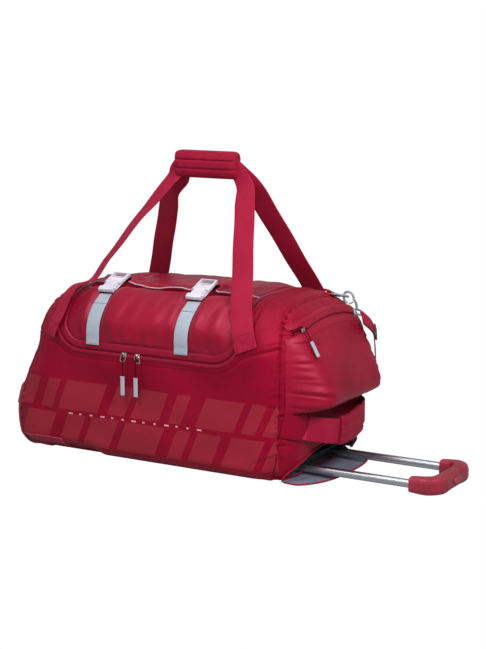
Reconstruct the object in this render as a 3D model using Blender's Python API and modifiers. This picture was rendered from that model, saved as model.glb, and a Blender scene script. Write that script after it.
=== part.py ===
"""Wheeled duffel bag: soft body on a low two-wheel base, zipped lid, tow handle, carry loops.

Metres, +Z up, origin on the floor under the body. +X points to the tow handle, -X to the
wheels, -Y is the front, with the straight edge of the lid zip.
"""
import math

import bpy
from mathutils import Matrix, Vector

for ob in list(bpy.data.objects):
    bpy.data.objects.remove(ob)
COL = bpy.data.collections.new("rolling_duffel_bag")
CUT = bpy.data.collections.new("cutters")
bpy.context.scene.collection.children.link(COL)
bpy.context.scene.collection.children.link(CUT)

# ---------------------------------------------------------------- main sizes
HALF_D = 0.176          # half depth of the body
CROWN = 0.348           # height of the crown
FLOOR_Z = 0.0045        # underside of the fabric floor
WALL = 0.0025           # fabric thickness
SHOULDER = 0.205        # height where the side turns into the arched top
R_PLAN = 0.072          # plan radius of the corners
R_FOOT = 0.030          # radius of the lower long edges
NOMINAL_L = 0.62        # body length that the end roundings are measured along
TOP_Y_POWER = 0.62      # shape of the arched top: powers of the cosine and the sine
TOP_Z_POWER = 0.80
# Half of a cross-section runs 0 to 1 from floor middle to crown; these are its joints.
FOOT_START, FLANK_START, TOP_START = 0.2, 0.3, 0.6
# End outlines: height z, x of the skin
LEFT = [
    (0.0, -0.362), (0.03, -0.380), (0.07, -0.386), (0.11, -0.380), (0.14, -0.364),
    (0.18, -0.343), (0.22, -0.328), (0.26, -0.322), (0.30, -0.310), (0.33, -0.292),
    (0.36, -0.270),
]
RIGHT = [
    (0.0, 0.262), (0.04, 0.278), (0.12, 0.285), (0.20, 0.285), (0.28, 0.280),
    (0.33, 0.262), (0.36, 0.245),
]

LID_X = (-0.243, 0.170)
LID_EDGE_Z = 0.2285     # lid edge at the front
LID_R = 0.055           # radius of the two front corners of the lid
HINGE_Y = 0.125

WHEEL_R = 0.040
WHEEL_X, WHEEL_Y, WHEEL_Z = -0.338, 0.128, WHEEL_R   # wheel centre, y either side

TUBE_Y, TUBE_Z, TUBE_R = 0.070, 0.0172, 0.008        # sliding tow tubes
TUBE_BORE_R = 0.0092    # holes that hold the outer tubes
GRIP_X = 0.534          # cross bar of the tow grip
LOOP_Z = 0.583          # middle of the carry grip

X_AXIS = Vector((1, 0, 0))
SIDES = (("front", -1), ("rear", 1))
ENDS = (("right", 1), ("left", -1))

# colour, roughness, metallic
FINISHES = {
    "nylon": ((0.24, 0.008, 0.022), 0.7, 0.0),
    "webbing": ((0.40, 0.03, 0.08), 0.7, 0.0),
    "grey_web": ((0.40, 0.42, 0.46), 0.7, 0.0),
    "buckle": ((0.72, 0.68, 0.72), 0.3, 0.0),
    "hardware": ((0.27, 0.29, 0.33), 0.7, 0.0),
    "alu": ((0.55, 0.57, 0.60), 0.3, 1.0),
    "grip": ((0.30, 0.03, 0.06), 0.4, 0.0),
    "dark": ((0.03, 0.03, 0.035), 0.7, 0.0),
    "rubber": ((0.02, 0.02, 0.02), 0.7, 0.0),
    "steel": ((0.5, 0.5, 0.52), 0.3, 1.0),
    "zip": ((0.10, 0.004, 0.01), 0.7, 0.0),
    "board": ((0.08, 0.08, 0.09), 0.7, 0.0),
}


# ---------------------------------------------------------------- solids and modifiers
def material(piece, finish):
    colour, roughness, metallic = FINISHES[finish]
    mat = bpy.data.materials.new("mat_" + piece)
    mat.use_nodes = True
    shader = mat.node_tree.nodes["Principled BSDF"]
    shader.inputs["Base Color"].default_value = (*colour, 1)
    shader.inputs["Roughness"].default_value = roughness
    shader.inputs["Metallic"].default_value = metallic
    return mat


def solid(name, verts, faces, finish=None, smooth=True):
    """A mesh object. Without a finish it is a hidden cutter, here and in every maker below."""
    mesh = bpy.data.meshes.new(name)
    mesh.from_pydata([tuple(v) for v in verts], [], faces)
    mesh.validate()
    mesh.update()
    ob = bpy.data.objects.new(name, mesh)
    if finish is None:
        CUT.objects.link(ob)
        ob.hide_render = True
        ob.display_type = "WIRE"
    else:
        COL.objects.link(ob)
        mesh.materials.append(material(name, finish))
    for poly in mesh.polygons:
        poly.use_smooth = smooth
    return ob


def outward(ob):
    """Flips the normals of a solid whose signed volume is negative."""
    volume = 0.0
    for poly in ob.data.polygons:
        pts = [ob.data.vertices[i].co for i in poly.vertices]
        for k in range(1, len(pts) - 1):
            volume += pts[0].dot(pts[k].cross(pts[k + 1]))
    if volume < 0:
        ob.data.flip_normals()
    return ob


def boolean(ob, cutter, operation="DIFFERENCE"):
    mod = ob.modifiers.new(operation.lower(), "BOOLEAN")
    mod.operation = operation
    mod.solver = "EXACT"
    mod.object = cutter


def block(name, lo, hi, finish=None, bevel=0.0, frame=None, segments=2):
    pts = [Vector((x, y, z)) for x in (lo[0], hi[0]) for y in (lo[1], hi[1])
           for z in (lo[2], hi[2])]
    if frame is not None:
        pts = [frame @ p for p in pts]
    faces = [(0, 1, 3, 2), (4, 6, 7, 5), (0, 4, 5, 1), (2, 3, 7, 6), (0, 2, 6, 4), (1, 5, 7, 3)]
    ob = solid(name, pts, faces, finish, smooth=False)
    if bevel:
        mod = ob.modifiers.new("bevel", "BEVEL")
        mod.width = bevel
        mod.segments = segments
        mod.limit_method = "ANGLE"
        mod.angle_limit = math.radians(40)
    return ob


def axes_for(axis):
    along = Vector(axis).normalized()
    ref = Vector((0, 0, 1)) if abs(along.z) < 0.9 else X_AXIS
    across = along.cross(ref).normalized()
    return along, across, along.cross(across).normalized()


def frame_at(origin, x_dir, y_dir, z_dir):
    return Matrix.Translation(origin) @ Matrix((x_dir, y_dir, z_dir)).transposed().to_4x4()


def lathe(name, profile, centre, axis, finish=None, seg=32):
    """profile: (radius, along). Radius 0 at both ends makes a solid piece, otherwise a ring."""
    along, across, third = axes_for(axis)
    verts, rows = [], []
    for radius, h in profile:
        middle = Vector(centre) + along * h
        if radius < 1e-7:
            rows.append([len(verts)] * seg)
            verts.append(middle)
        else:
            rows.append(list(range(len(verts), len(verts) + seg)))
            for k in range(seg):
                turn = 2 * math.pi * k / seg
                verts.append(middle + (across * math.cos(turn) + third * math.sin(turn)) * radius)
    if profile[0][0] > 1e-7 and profile[-1][0] > 1e-7:
        rows.append(rows[0])
    faces = []
    for p, q in zip(rows, rows[1:]):
        for k in range(seg):
            after = (k + 1) % seg
            faces.append(list(dict.fromkeys((p[k], p[after], q[after], q[k]))))
    return outward(solid(name, verts, faces, finish))


def rod(name, start, end, r, finish=None, seg=24, chamfer=0.0):
    axis = Vector(end) - Vector(start)
    h = axis.length
    if chamfer:
        profile = [(0, 0), (r - chamfer, 0), (r, chamfer), (r, h - chamfer), (r - chamfer, h),
                   (0, h)]
    else:
        profile = [(0, 0), (r, 0), (r, h), (0, h)]
    return lathe(name, profile, start, axis, finish, seg)


def ring(name, start, end, r_in, r_out, finish, seg=24):
    axis = Vector(end) - Vector(start)
    h = axis.length
    return lathe(name, [(r_in, 0), (r_out, 0), (r_out, h), (r_in, h)], start, axis, finish, seg)


def loft(name, loops, finish=None, closed=False, inner=None, smooth=True):
    """Joins equal-length point loops; inner is a second set that makes the wall of a sleeve."""
    n, m = len(loops[0]), len(loops)
    verts = [p for loop in loops for p in loop]
    faces = []
    for i in range(m if closed else m - 1):
        a, b = i * n, ((i + 1) % m) * n
        for k in range(n):
            after = (k + 1) % n
            faces.append((a + k, a + after, b + after, b + k))
    if inner is not None:
        off, end = len(verts), (m - 1) * n
        verts += [p for loop in inner for p in loop]
        for i in range(m - 1):
            a, b = off + i * n, off + (i + 1) * n
            for k in range(n):
                after = (k + 1) % n
                faces.append((b + k, b + after, a + after, a + k))
        for k in range(n):
            after = (k + 1) % n
            faces.append((off + k, off + after, after, k))
            faces.append((end + k, end + after, off + end + after, off + end + k))
    elif not closed:
        faces.append(tuple(reversed(range(n))))
        faces.append(tuple(range((m - 1) * n, m * n)))
    return outward(solid(name, verts, faces, finish, smooth))


def rounded(half_a, half_b, power, count=12, phase=0.5):
    """Superellipse outline; power 1 is an ellipse and smaller powers are squarer."""
    pts = []
    for k in range(count):
        turn = 2 * math.pi * (k + phase) / count
        c, s = math.cos(turn), math.sin(turn)
        pts.append((half_a * math.copysign(abs(c) ** power, c),
                    half_b * math.copysign(abs(s) ** power, s)))
    return pts


def circle(radius, count):
    return rounded(radius, radius, 1.0, count)


def rectangle(half_a, half_b):
    return [(half_a, half_b), (half_a, -half_b), (-half_a, -half_b), (-half_a, half_b)]


def placed(outline, at, a_dir, b_dir):
    return [at + a_dir * a + b_dir * b for a, b in outline]


def tangent(path, i, closed=False):
    if closed:
        return (path[(i + 1) % len(path)] - path[i - 1]).normalized()
    return (path[min(i + 1, len(path) - 1)] - path[max(i - 1, 0)]).normalized()


def square_to(direction, vector):
    """The part of vector at right angles to direction, as a unit vector."""
    return (vector - direction * vector.dot(direction)).normalized()


def sweep(name, path, outline, finish=None, closed=False, scales=None):
    """Sweeps an outline along a path, carrying its cross direction from point to point."""
    path = [Vector(p) for p in path]
    loops, across = [], None
    for i, p in enumerate(path):
        along = tangent(path, i, closed)
        across = square_to(along, across or axes_for(along)[1])
        scale = scales[i] if scales else 1.0
        scaled = [(a * scale, b * scale) for a, b in outline]
        loops.append(placed(scaled, p, across, along.cross(across).normalized()))
    return loft(name, loops, finish, closed)


def two_skins(name, outer, inner, finish=None):
    """A thick sheet between two equal grids of points."""
    n, m = len(outer), len(outer[0])
    verts = [p for row in outer + inner for p in row]
    k = n * m
    faces = []
    for i in range(n - 1):
        for j in range(m - 1):
            a, b, c, d = i * m + j, i * m + j + 1, (i + 1) * m + j + 1, (i + 1) * m + j
            faces += [(a, b, c, d), (k + d, k + c, k + b, k + a)]
    for j in range(m - 1):
        faces.append((j + 1, j, k + j, k + j + 1))
        a, b = (n - 1) * m + j, (n - 1) * m + j + 1
        faces.append((a, b, k + b, k + a))
    for i in range(n - 1):
        a, b = i * m, (i + 1) * m
        faces.append((a, b, k + b, k + a))
        a, b = a + m - 1, b + m - 1
        faces.append((b, a, k + a, k + b))
    return outward(solid(name, verts, faces, finish))


# ---------------------------------------------------------------- the body surface
def smooth_table(rows, key):
    """Cubic interpolation in a table, held at its ends."""
    key = min(max(key, rows[0][0]), rows[-1][0])
    i = 0
    while i < len(rows) - 2 and key > rows[i + 1][0]:
        i += 1
    (x0, y0), (x1, y1) = rows[i], rows[i + 1]

    def slope(k):
        before, after = rows[max(k - 1, 0)], rows[min(k + 1, len(rows) - 1)]
        return (after[1] - before[1]) / (after[0] - before[0])

    h = x1 - x0
    s = (key - x0) / h
    m0, m1 = slope(i) * h, slope(i + 1) * h
    return (y0 * (2 * s ** 3 - 3 * s ** 2 + 1) + m0 * (s ** 3 - 2 * s ** 2 + s)
            + y1 * (-2 * s ** 3 + 3 * s ** 2) + m1 * (s ** 3 - s ** 2))


def linear_table(rows, key):
    for (k0, v0), (k1, v1) in zip(rows, rows[1:]):
        if key <= k1:
            return v0 + (v1 - v0) * (key - k0) / (k1 - k0)
    return rows[-1][1]


def drop(d, r):
    """How far a quarter round of radius r falls back at distance d from the end."""
    d = min(max(d, 0.0), r)
    return r - math.sqrt(max(r * r - (r - d) ** 2, 0.0))


def section(u, t, off=0.0):
    """y, z of the cross-section at u (0 wheel end, 1 handle end), moved in by off.

    t runs 0 to 1 from the floor middle over the front, the top and the back."""
    d_left, d_right = u * NOMINAL_L, (1 - u) * NOMINAL_L
    hy = HALF_D - drop(d_left, R_PLAN) - drop(d_right, R_PLAN) - off
    z_top = (CROWN - drop(d_left, 0.085) * 0.42 - drop(d_right, 0.08) * 0.42
             - 0.008 * ((u - 0.5) / 0.5) ** 2 - off)
    z_low = FLOOR_Z + drop(d_left, 0.02) * 0.6 + drop(d_right, 0.02) * 0.6 + off
    way, sign = (t * 2, -1) if t <= 0.5 else ((1 - t) * 2, 1)
    if way < FOOT_START:
        y, z = (hy - R_FOOT) * way / FOOT_START, z_low
    elif way < FLANK_START:
        a = (way - FOOT_START) / (FLANK_START - FOOT_START) * math.pi / 2
        y, z = hy - R_FOOT + R_FOOT * math.sin(a), z_low + R_FOOT - R_FOOT * math.cos(a)
    elif way < TOP_START:
        s = (way - FLANK_START) / (TOP_START - FLANK_START)
        y, z = hy, z_low + R_FOOT + (SHOULDER - z_low - R_FOOT) * s
    else:
        a = min((way - TOP_START) / (1 - TOP_START), 1.0) * math.pi / 2
        y = hy * max(math.cos(a), 0.0) ** TOP_Y_POWER
        z = SHOULDER + (z_top - SHOULDER) * math.sin(a) ** TOP_Z_POWER
    return sign * y, z


def body_point(u, t, off):
    y, z = section(u, t, off)
    x_left, x_right = smooth_table(LEFT, z) + off, smooth_table(RIGHT, z) - off
    return Vector((x_left + (x_right - x_left) * u, y, z))


def at_x(x, t):
    """Point of the skin at a given x; u is found by repeated substitution."""
    u = 0.5
    for _ in range(4):
        _, z = section(u, t)
        x_left, x_right = smooth_table(LEFT, z), smooth_table(RIGHT, z)
        u = (x - x_left) / (x_right - x_left)
    return Vector((x, *section(u, t)))


def on_skin(x, t, off):
    """Point at distance off outside the skin."""
    p = at_x(x, t)
    dx = at_x(x + 0.002, t) - at_x(x - 0.002, t)
    dt = at_x(x, min(t + 0.002, 0.999)) - at_x(x, max(t - 0.002, 0.001))
    normal = dx.cross(dt).normalized()
    if normal.dot(p - Vector((p.x, 0, 0.15))) < 0:
        normal = -normal
    return p + normal * off


def skin_normal(x, t):
    return (on_skin(x, t, 0.01) - on_skin(x, t, 0.0)).normalized()


def t_of_z(z):
    """Section parameter at height z on the front flank."""
    lo, hi = 0.0, 0.5
    for _ in range(40):
        mid = (lo + hi) / 2
        if section(0.5, mid)[1] < z:
            lo = mid
        else:
            hi = mid
    return lo


def t_of_y(y):
    """Section parameter on the arched top at depth y."""
    a = math.acos(min(abs(y) / HALF_D, 1.0) ** (1 / TOP_Y_POWER))
    way = TOP_START + (1 - TOP_START) * a / (math.pi / 2)
    return way / 2 if y < 0 else 1 - way / 2


def measure_arc(t_start, t_end, steps=400):
    """(t, arc length) along the middle section."""
    rows = [(t_start, 0.0)]
    for i in range(1, steps + 1):
        t = t_start + (t_end - t_start) * i / steps
        y0, z0 = section(0.5, rows[-1][0])
        y1, z1 = section(0.5, t)
        rows.append((t, rows[-1][1] + math.hypot(y1 - y0, z1 - z0)))
    return rows


# Arc positions s on the lid start at its front edge and end at LID_S, the hinge.
T_EDGE, T_HINGE = t_of_z(LID_EDGE_Z), t_of_y(HINGE_Y)
T_TO_ARC = measure_arc(T_EDGE - 0.02, T_HINGE + 0.02)
ARC_TO_T = [(s, t) for t, s in T_TO_ARC]
ARC_EDGE = linear_table(T_TO_ARC, T_EDGE)
LID_S = linear_table(T_TO_ARC, T_HINGE) - ARC_EDGE


def t_of_arc(s):
    return linear_table(ARC_TO_T, s + ARC_EDGE)


def arc_of_y(y):
    return linear_table(T_TO_ARC, t_of_y(y)) - ARC_EDGE


def patch(name, rows, cols, span, out, inn, finish=None):
    """A thick piece of the skin between offsets out and inn.

    rows are arc positions and span(s) gives the x range at each of them."""
    def grid(off):
        return [[on_skin(span(s)[0] + (span(s)[1] - span(s)[0]) * j / cols, t_of_arc(s), off)
                 for j in range(cols + 1)] for s in rows]

    return two_skins(name, grid(out), grid(inn), finish)


def strip(name, x0, x1, s0, s1, out, inn, finish, n=8, cols=2):
    rows = [s0 + (s1 - s0) * k / n for k in range(n + 1)]
    return patch(name, rows, cols, lambda s: (x0, x1), out, inn, finish)


def lid_patch(name, margin, rear, out, inn, finish=None):
    """The lid's outline grown by margin, and by rear past the hinge."""
    r = LID_R + margin

    def span(s):
        inset = drop(s + margin, r)
        return LID_X[0] - margin + inset, LID_X[1] + margin - inset

    rows = [-margin + r * (1 - math.cos(math.pi / 2 * k / 5)) for k in range(6)]
    s, end = rows[-1], LID_S + rear
    rows += [s + (end - s) * k / 13 for k in range(1, 14)]
    return patch(name, rows, 14, span, out, inn, finish)


def closed_body(name, off, finish=None):
    """The closed surface of the body, moved in by off."""
    half = []
    for a, b, count in ((0, 0.1, 2), (0.1, 0.15, 3), (0.15, 0.3, 4), (0.3, 0.5, 8)):
        half += [a + (b - a) * k / count for k in range(count)]
    half.append(0.5)
    ts = half + [1 - t for t in reversed(half[1:-1])]
    us = [0, 0.006, 0.022, 0.048, 0.08, 0.118]
    us += [0.118 + (0.882 - 0.118) * k / 12 for k in range(1, 12)]
    us += [0.882, 0.92, 0.952, 0.978, 0.994, 1]
    verts = [body_point(u, t, off) for u in us for t in ts]
    n = len(ts)
    faces = []
    for i in range(len(us) - 1):
        a, b = i * n, (i + 1) * n
        for k in range(n):
            after = (k + 1) % n
            faces.append((a + k, a + after, b + after, b + k))
    # Each end is one low face with bands from the front to the back above it.
    for base, flip in ((0, True), ((len(us) - 1) * n, False)):
        low = [base + k for k in (3, 2, 1, 0, n - 1, n - 2, n - 3)]
        faces.append(tuple(low) if flip else tuple(reversed(low)))
        for k in range(3, len(half) - 1):
            corners = (base + k, base + k + 1, base + n - k - 1, base + n - k)
            face = list(dict.fromkeys(corners))
            faces.append(tuple(reversed(face)) if flip else tuple(face))
    return outward(solid(name, verts, faces, finish))


# ---------------------------------------------------------------- shell
HOUSING_END_X = -0.2855     # end of the wheel housing towards the body middle
HOUSING_HALF_W = 0.0250
HOUSING_TOP = 0.0880
WELL_GAP = 0.0005           # clearance of the well round the housing


def build_shell():
    shell = closed_body("body_shell", 0.0, "nylon")
    boolean(shell, closed_body("cut_hollow", WALL))
    boolean(shell, lid_patch("cut_lid_opening", 0.0108, 0.0024, 0.02, -0.02))
    half = HOUSING_HALF_W + WELL_GAP
    for side, s in SIDES:
        boolean(shell, block("cut_well_" + side, (-0.44, s * WHEEL_Y - half, -0.02),
                             (HOUSING_END_X + WELL_GAP, s * WHEEL_Y + half,
                              HOUSING_TOP + WELL_GAP)))
    # arched recess under the handle end
    arch = [(0.1455 * math.cos(math.pi * k / 20), 0.0086 + 0.0500 * math.sin(math.pi * k / 20))
            for k in range(21)]
    boolean(shell, loft("cut_garage", [[Vector((x, y, z)) for y, z in arch]
                                       for x in (0.2311, 0.3307)]))


# ---------------------------------------------------------------- base board and belly pad
# centre x, centre y, start angle of each rounded corner
BOARD_CORNERS = [(0.196, 0.098, 0), (-0.183, 0.100, 90), (-0.183, -0.100, 180),
                 (0.196, -0.098, 270)]
BOARD_R = 0.064
BOARD_Z = (0.0306, 0.0330)
PAD_TOP = 0.0041
# x, underside z, half depth
PAD_STATIONS = [
    (-0.255, 0.0034, 0.118), (-0.230, 0.0014, 0.132), (-0.185, 0.0, 0.136),
    (-0.10, 0.0, 0.137), (0.0, 0.0, 0.137), (0.064, 0.0, 0.136), (0.100, 0.0014, 0.132),
    (0.125, 0.0034, 0.118),
]


def build_board():
    outline = []
    for x, y, start in BOARD_CORNERS:
        for k in range(5):
            a = math.radians(start + 90 * k / 4)
            outline.append((x + BOARD_R * math.cos(a), y + BOARD_R * math.sin(a)))
    loft("base_board", [[Vector((x, y, z)) for x, y in outline] for z in BOARD_Z], "board",
         smooth=False)


def build_belly_pad():
    loops = []
    for x, z_low, half in PAD_STATIONS:
        z_mid = (z_low + PAD_TOP) / 2
        outline = [(-half, PAD_TOP), (-half - 0.004, z_mid), (-half + 0.010, z_low),
                   (half - 0.010, z_low), (half + 0.004, z_mid), (half, PAD_TOP)]
        loops.append([Vector((x, y, z)) for y, z in outline])
    loft("belly_pad", loops, "nylon", smooth=False)


# ---------------------------------------------------------------- wheels
SLOT_R = 0.0433
SLOT_HALF_W = 0.0145
AXLE_R, AXLE_HALF_L = 0.0040, 0.0236
AXLE_BORE_R, AXLE_BORE_HALF_L = 0.0044, 0.0240
# radius, distance along the axle from the wheel middle
TYRE = [(0.0292, -0.0105), (0.0368, -0.0120), (0.0391, -0.0095), (WHEEL_R, -0.004),
        (WHEEL_R, 0.004), (0.0391, 0.0095), (0.0368, 0.0120), (0.0292, 0.0105)]
HUB = [
    (0.0096, -0.0125), (0.0125, -0.0125), (0.0135, -0.0060), (0.0240, -0.0060),
    (0.0257, -0.0100), (0.0288, -0.0100), (0.0288, 0.0100), (0.0257, 0.0100),
    (0.0240, 0.0060), (0.0135, 0.0060), (0.0125, 0.0125), (0.0096, 0.0125),
]


def build_wheel(side, wy):
    def axle_ends(half):
        return (WHEEL_X, wy - half, WHEEL_Z), (WHEEL_X, wy + half, WHEEL_Z)

    housing = block("wheel_housing_" + side, (-0.42, wy - HOUSING_HALF_W, FLOOR_Z),
                    (HOUSING_END_X, wy + HOUSING_HALF_W, HOUSING_TOP), "grip")
    boolean(housing, closed_body("cut_skin_" + side, 0.0), "INTERSECT")
    # the slot is round over the wheel and open towards the floor and the end
    slot = []
    for k in range(15):
        a = math.radians(130) * k / 14
        slot.append((WHEEL_X + SLOT_R * math.cos(a), WHEEL_Z + SLOT_R * math.sin(a)))
    slot += [(-0.45, slot[-1][1]), (-0.45, -0.01), (WHEEL_X + SLOT_R, -0.01)]
    boolean(housing, loft("cut_wheel_" + side, [[Vector((x, y, z)) for x, z in slot]
                                                for y in (wy - SLOT_HALF_W, wy + SLOT_HALF_W)]))
    boolean(housing, rod("cut_axle_" + side, *axle_ends(AXLE_BORE_HALF_L), AXLE_BORE_R))
    rod("wheel_axle_" + side, *axle_ends(AXLE_HALF_L), AXLE_R, "steel", chamfer=0.0006)
    centre = (WHEEL_X, wy, WHEEL_Z)
    lathe("wheel_tyre_" + side, TYRE, centre, (0, 1, 0), "rubber", 32)
    lathe("wheel_hub_" + side, HUB, centre, (0, 1, 0), "dark", 24)
    ring("wheel_bearing_" + side, *axle_ends(0.0130), 0.0043, 0.0092, "steel")


# ---------------------------------------------------------------- tow tubes, grip and button
MOUNT_HALF_Y = 0.0900
MOUNT_Z = (0.0074, 0.0300)
# radius, distance from x 0.20: the outer tube's seat, then a narrower hole out to the end
COLLAR_BORE = [(0, 0), (TUBE_BORE_R, 0), (TUBE_BORE_R, 0.034), (0.0084, 0.034), (0.0084, 0.07),
               (0, 0.07)]
GRIP_BEND_X, GRIP_BEND_Y = 0.5080, 0.026   # start of the grip's corner, and its size along y


def tube_mount(name, x0, x1, bevel=0.0):
    return block(name, (x0, -MOUNT_HALF_Y, MOUNT_Z[0]), (x1, MOUNT_HALF_Y, MOUNT_Z[1]),
                 "dark", bevel)


def build_tubes():
    bracket = tube_mount("tube_bracket", -0.2440, -0.2240, 0.002)
    collar = tube_mount("handle_collar", 0.2160, 0.2420)
    for side, s in SIDES:
        def at(x):
            return x, s * TUBE_Y, TUBE_Z

        boolean(bracket, rod("cut_bk_" + side, at(-0.2405), at(-0.20), TUBE_BORE_R))
        boolean(collar, lathe("cut_ca_" + side, COLLAR_BORE, at(0.20), X_AXIS, seg=24))
        ring("outer_tube_" + side, at(-0.2400), at(0.2330), 0.0083, 0.0089, "alu")
        ring("inner_tube_" + side, at(-0.0200), at(0.5000), 0.0068, TUBE_R, "alu")
        rod("release_rod_" + side, at(-0.0100), at(0.4980), 0.0025, "steel", 10)


def button_loop(x, half_y, half_z):
    return [Vector((x, y, TUBE_Z + z)) for y, z in rounded(half_y, half_z, 0.7, 20, phase=0)]


def build_tow_grip():
    half = [(0.4860, -TUBE_Y), (GRIP_BEND_X, -TUBE_Y)]
    for k in range(1, 6):
        a = math.radians(90 * k / 5)
        half.append((GRIP_BEND_X + (GRIP_X - GRIP_BEND_X) * math.sin(a),
                     -TUBE_Y + GRIP_BEND_Y * (1 - math.cos(a))))
    half.append((GRIP_X, -0.02))
    path = half + [(x, -y) for x, y in reversed(half)]
    half_scales = [0.90, 1.0] + [1.04] * 5 + [0.97]
    grip = sweep("tow_grip", [(x, y, TUBE_Z) for x, y in path],
                 rounded(0.0150, 0.0162, 0.55, 16), "grip",
                 scales=half_scales + half_scales[::-1])
    for s in (-1, 1):
        boolean(grip, rod(f"cut_grip_{s}", (0.47, s * TUBE_Y, TUBE_Z),
                          (0.5006, s * TUBE_Y, TUBE_Z), 0.0083))
    boolean(grip, loft("cut_button", [button_loop(x, 0.0166, 0.0076) for x in (0.5370, 0.57)]))
    loft("push_button", [button_loop(0.5415, 0.0162, 0.0072), button_loop(0.5500, 0.0162, 0.0072),
                         button_loop(0.5518, 0.0145, 0.0058)], "grip")


# ---------------------------------------------------------------- lid and what is sewn to it
TAPE_MARGINS = (0.0008, 0.0092)    # inner and outer edge of the zip tape outside the lid
TAPE_OFFSETS = (0.0006, -0.0010)   # its faces above and below the skin
WEB_OUT, WEB_IN = 0.0019, 0.0005   # faces of the webbing sewn on the skin
WEB_HALF_W = 0.015
BUCKLES = (("left", -0.160), ("right", 0.047))


def lid_edge(m):
    """(x, s) along the left, front and right edges of the lid, moved out by m."""
    r = LID_R + m
    x0, x1 = LID_X
    rear = LID_S - 0.002
    pts = [(x0 - m, rear + (LID_R - rear) * k / 10) for k in range(11)]
    for k in range(1, 7):
        a = math.radians(90 * k / 6)
        pts.append((x0 + LID_R - r * math.cos(a), LID_R - r * math.sin(a)))
    pts += [(x0 + LID_R + (x1 - x0 - 2 * LID_R) * k / 8, -m) for k in range(1, 9)]
    for k in range(1, 7):
        a = math.radians(90 * k / 6)
        pts.append((x1 - LID_R + r * math.sin(a), LID_R - r * math.cos(a)))
    pts += [(x1 + m, LID_R + (rear - LID_R) * k / 10) for k in range(1, 11)]
    return pts


def build_zip_tape():
    top, low = TAPE_OFFSETS
    loops = []
    for (xa, sa), (xb, sb) in zip(*(lid_edge(m) for m in TAPE_MARGINS)):
        ta, tb = t_of_arc(sa), t_of_arc(sb)
        loops.append([on_skin(xa, ta, top), on_skin(xb, tb, top),
                      on_skin(xb, tb, low), on_skin(xa, ta, low)])
    loft("zip_tape", loops, "zip", smooth=False)


def buckle_frame(x):
    """x across, y towards the rear, z out; tilted 8 degrees about the buckle's front edge."""
    back = (at_x(x, t_of_y(-0.0885)) - at_x(x, t_of_y(-0.0985))).normalized()
    frame = frame_at(at_x(x, t_of_y(-0.0935)), X_AXIS, back, X_AXIS.cross(back).normalized())
    return (frame @ Matrix.Translation((0, -0.034, 0.0006))
            @ Matrix.Rotation(math.radians(8), 4, "X") @ Matrix.Translation((0, 0.034, 0)))


def build_buckle(side, x):
    x0, x1 = x - WEB_HALF_W, x + WEB_HALF_W
    strip("lid_strap_" + side, x0, x1, 0.006, arc_of_y(-0.1222), WEB_OUT, WEB_IN, "grey_web", 10)
    strip("buckle_web_" + side, x0, x1, arc_of_y(-0.067), LID_S - 0.012, WEB_OUT, WEB_IN,
          "webbing", 10)
    frame = buckle_frame(x)

    def part(name, lo, hi, finish=None, bevel=0.0):
        return block(name, lo, hi, finish, bevel, frame)

    socket = part("buckle_socket_" + side, (-0.0190, -0.0340, 0.0024), (0.0190, 0.0022, 0.0102),
                  "buckle", 0.0016)
    boolean(socket, part("cut_sk_" + side, (-0.0160, -0.0285, 0.0042), (0.0160, 0.0100, 0.0084)))
    for s in (-1, 1):
        mid = s * 0.0177   # side window
        boolean(socket, part(f"cut_win_{side}_{s}", (mid - 0.005, -0.0221, 0.0036),
                             (mid + 0.005, -0.0063, 0.0140)))
        mid = s * 0.0205   # front corner
        boolean(socket, part(f"cut_nose_{side}_{s}", (mid - 0.0035, -0.0360, 0.0),
                             (mid + 0.0035, -0.0282, 0.0140)))
    prong = part("buckle_prong_" + side, (-0.0190, 0.0027, 0.0026), (0.0190, 0.0330, 0.0098),
                 "buckle", 0.0016)
    boolean(prong, part("cut_tongue_" + side, (-0.0155, -0.0265, 0.0047),
                        (0.0155, 0.0060, 0.0079)), "UNION")
    for s in (-1, 1):
        mid = s * 0.0070   # slit between the tongue's fingers
        boolean(prong, part(f"cut_slit_{side}_{s}", (mid - 0.0020, -0.0300, 0.0),
                            (mid + 0.0020, -0.0040, 0.012)))
    boolean(prong, part("cut_web_" + side, (-0.0150, 0.0165, -0.01), (0.0150, 0.0292, 0.02)))
    boolean(prong, part("cut_top_" + side, (-0.0150, 0.0060, 0.0078), (0.0150, 0.0140, 0.02)))


def build_lid():
    lid_patch("lid_panel", 0.0, 0.0, 0.0, -WALL, "nylon")
    build_zip_tape()
    for side, x in BUCKLES:
        build_buckle(side, x)
    s = arc_of_y(-0.0765)
    strip("lid_piping", LID_X[0] + 0.010, LID_X[1] - 0.010, s, s + 0.0030, 0.0019, 0.0004,
          "grey_web", 1, 14)


# ---------------------------------------------------------------- main zip sliders and pulls
ZIP_PULLS = (("left", -0.081), ("right", -0.050))
SLIDER_Z = 0.2215
CORD_R = 0.0012
# distance in front of the slider's outer face, z
PULL_CORD = [(0.0006, 0.2235), (0.0028, 0.2215), (0.0034, 0.2150), (0.0032, 0.200),
             (0.0031, 0.1780)]


def build_zip_pull(side, x):
    t = t_of_z(SLIDER_Z)
    base, normal = on_skin(x, t, 0.0), skin_normal(x, t)
    frame = frame_at(base, X_AXIS, normal.cross(X_AXIS).normalized(), normal)
    block("zip_slider_" + side, (-0.0060, -0.0046, 0.0012), (0.0060, 0.0046, 0.0046), "steel",
          0.0012, frame)
    y = (base + normal * 0.0075).y
    pull = block("zip_pull_" + side, (x - 0.0042, y - 0.0051, 0.1420),
                 (x + 0.0042, y - 0.0015, 0.1810), "hardware", 0.0012)
    cord = [(x, y - ahead, z) for ahead, z in PULL_CORD]
    boolean(pull, sweep("cut_cord_" + side, cord, circle(CORD_R, 6)), "UNION")


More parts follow.
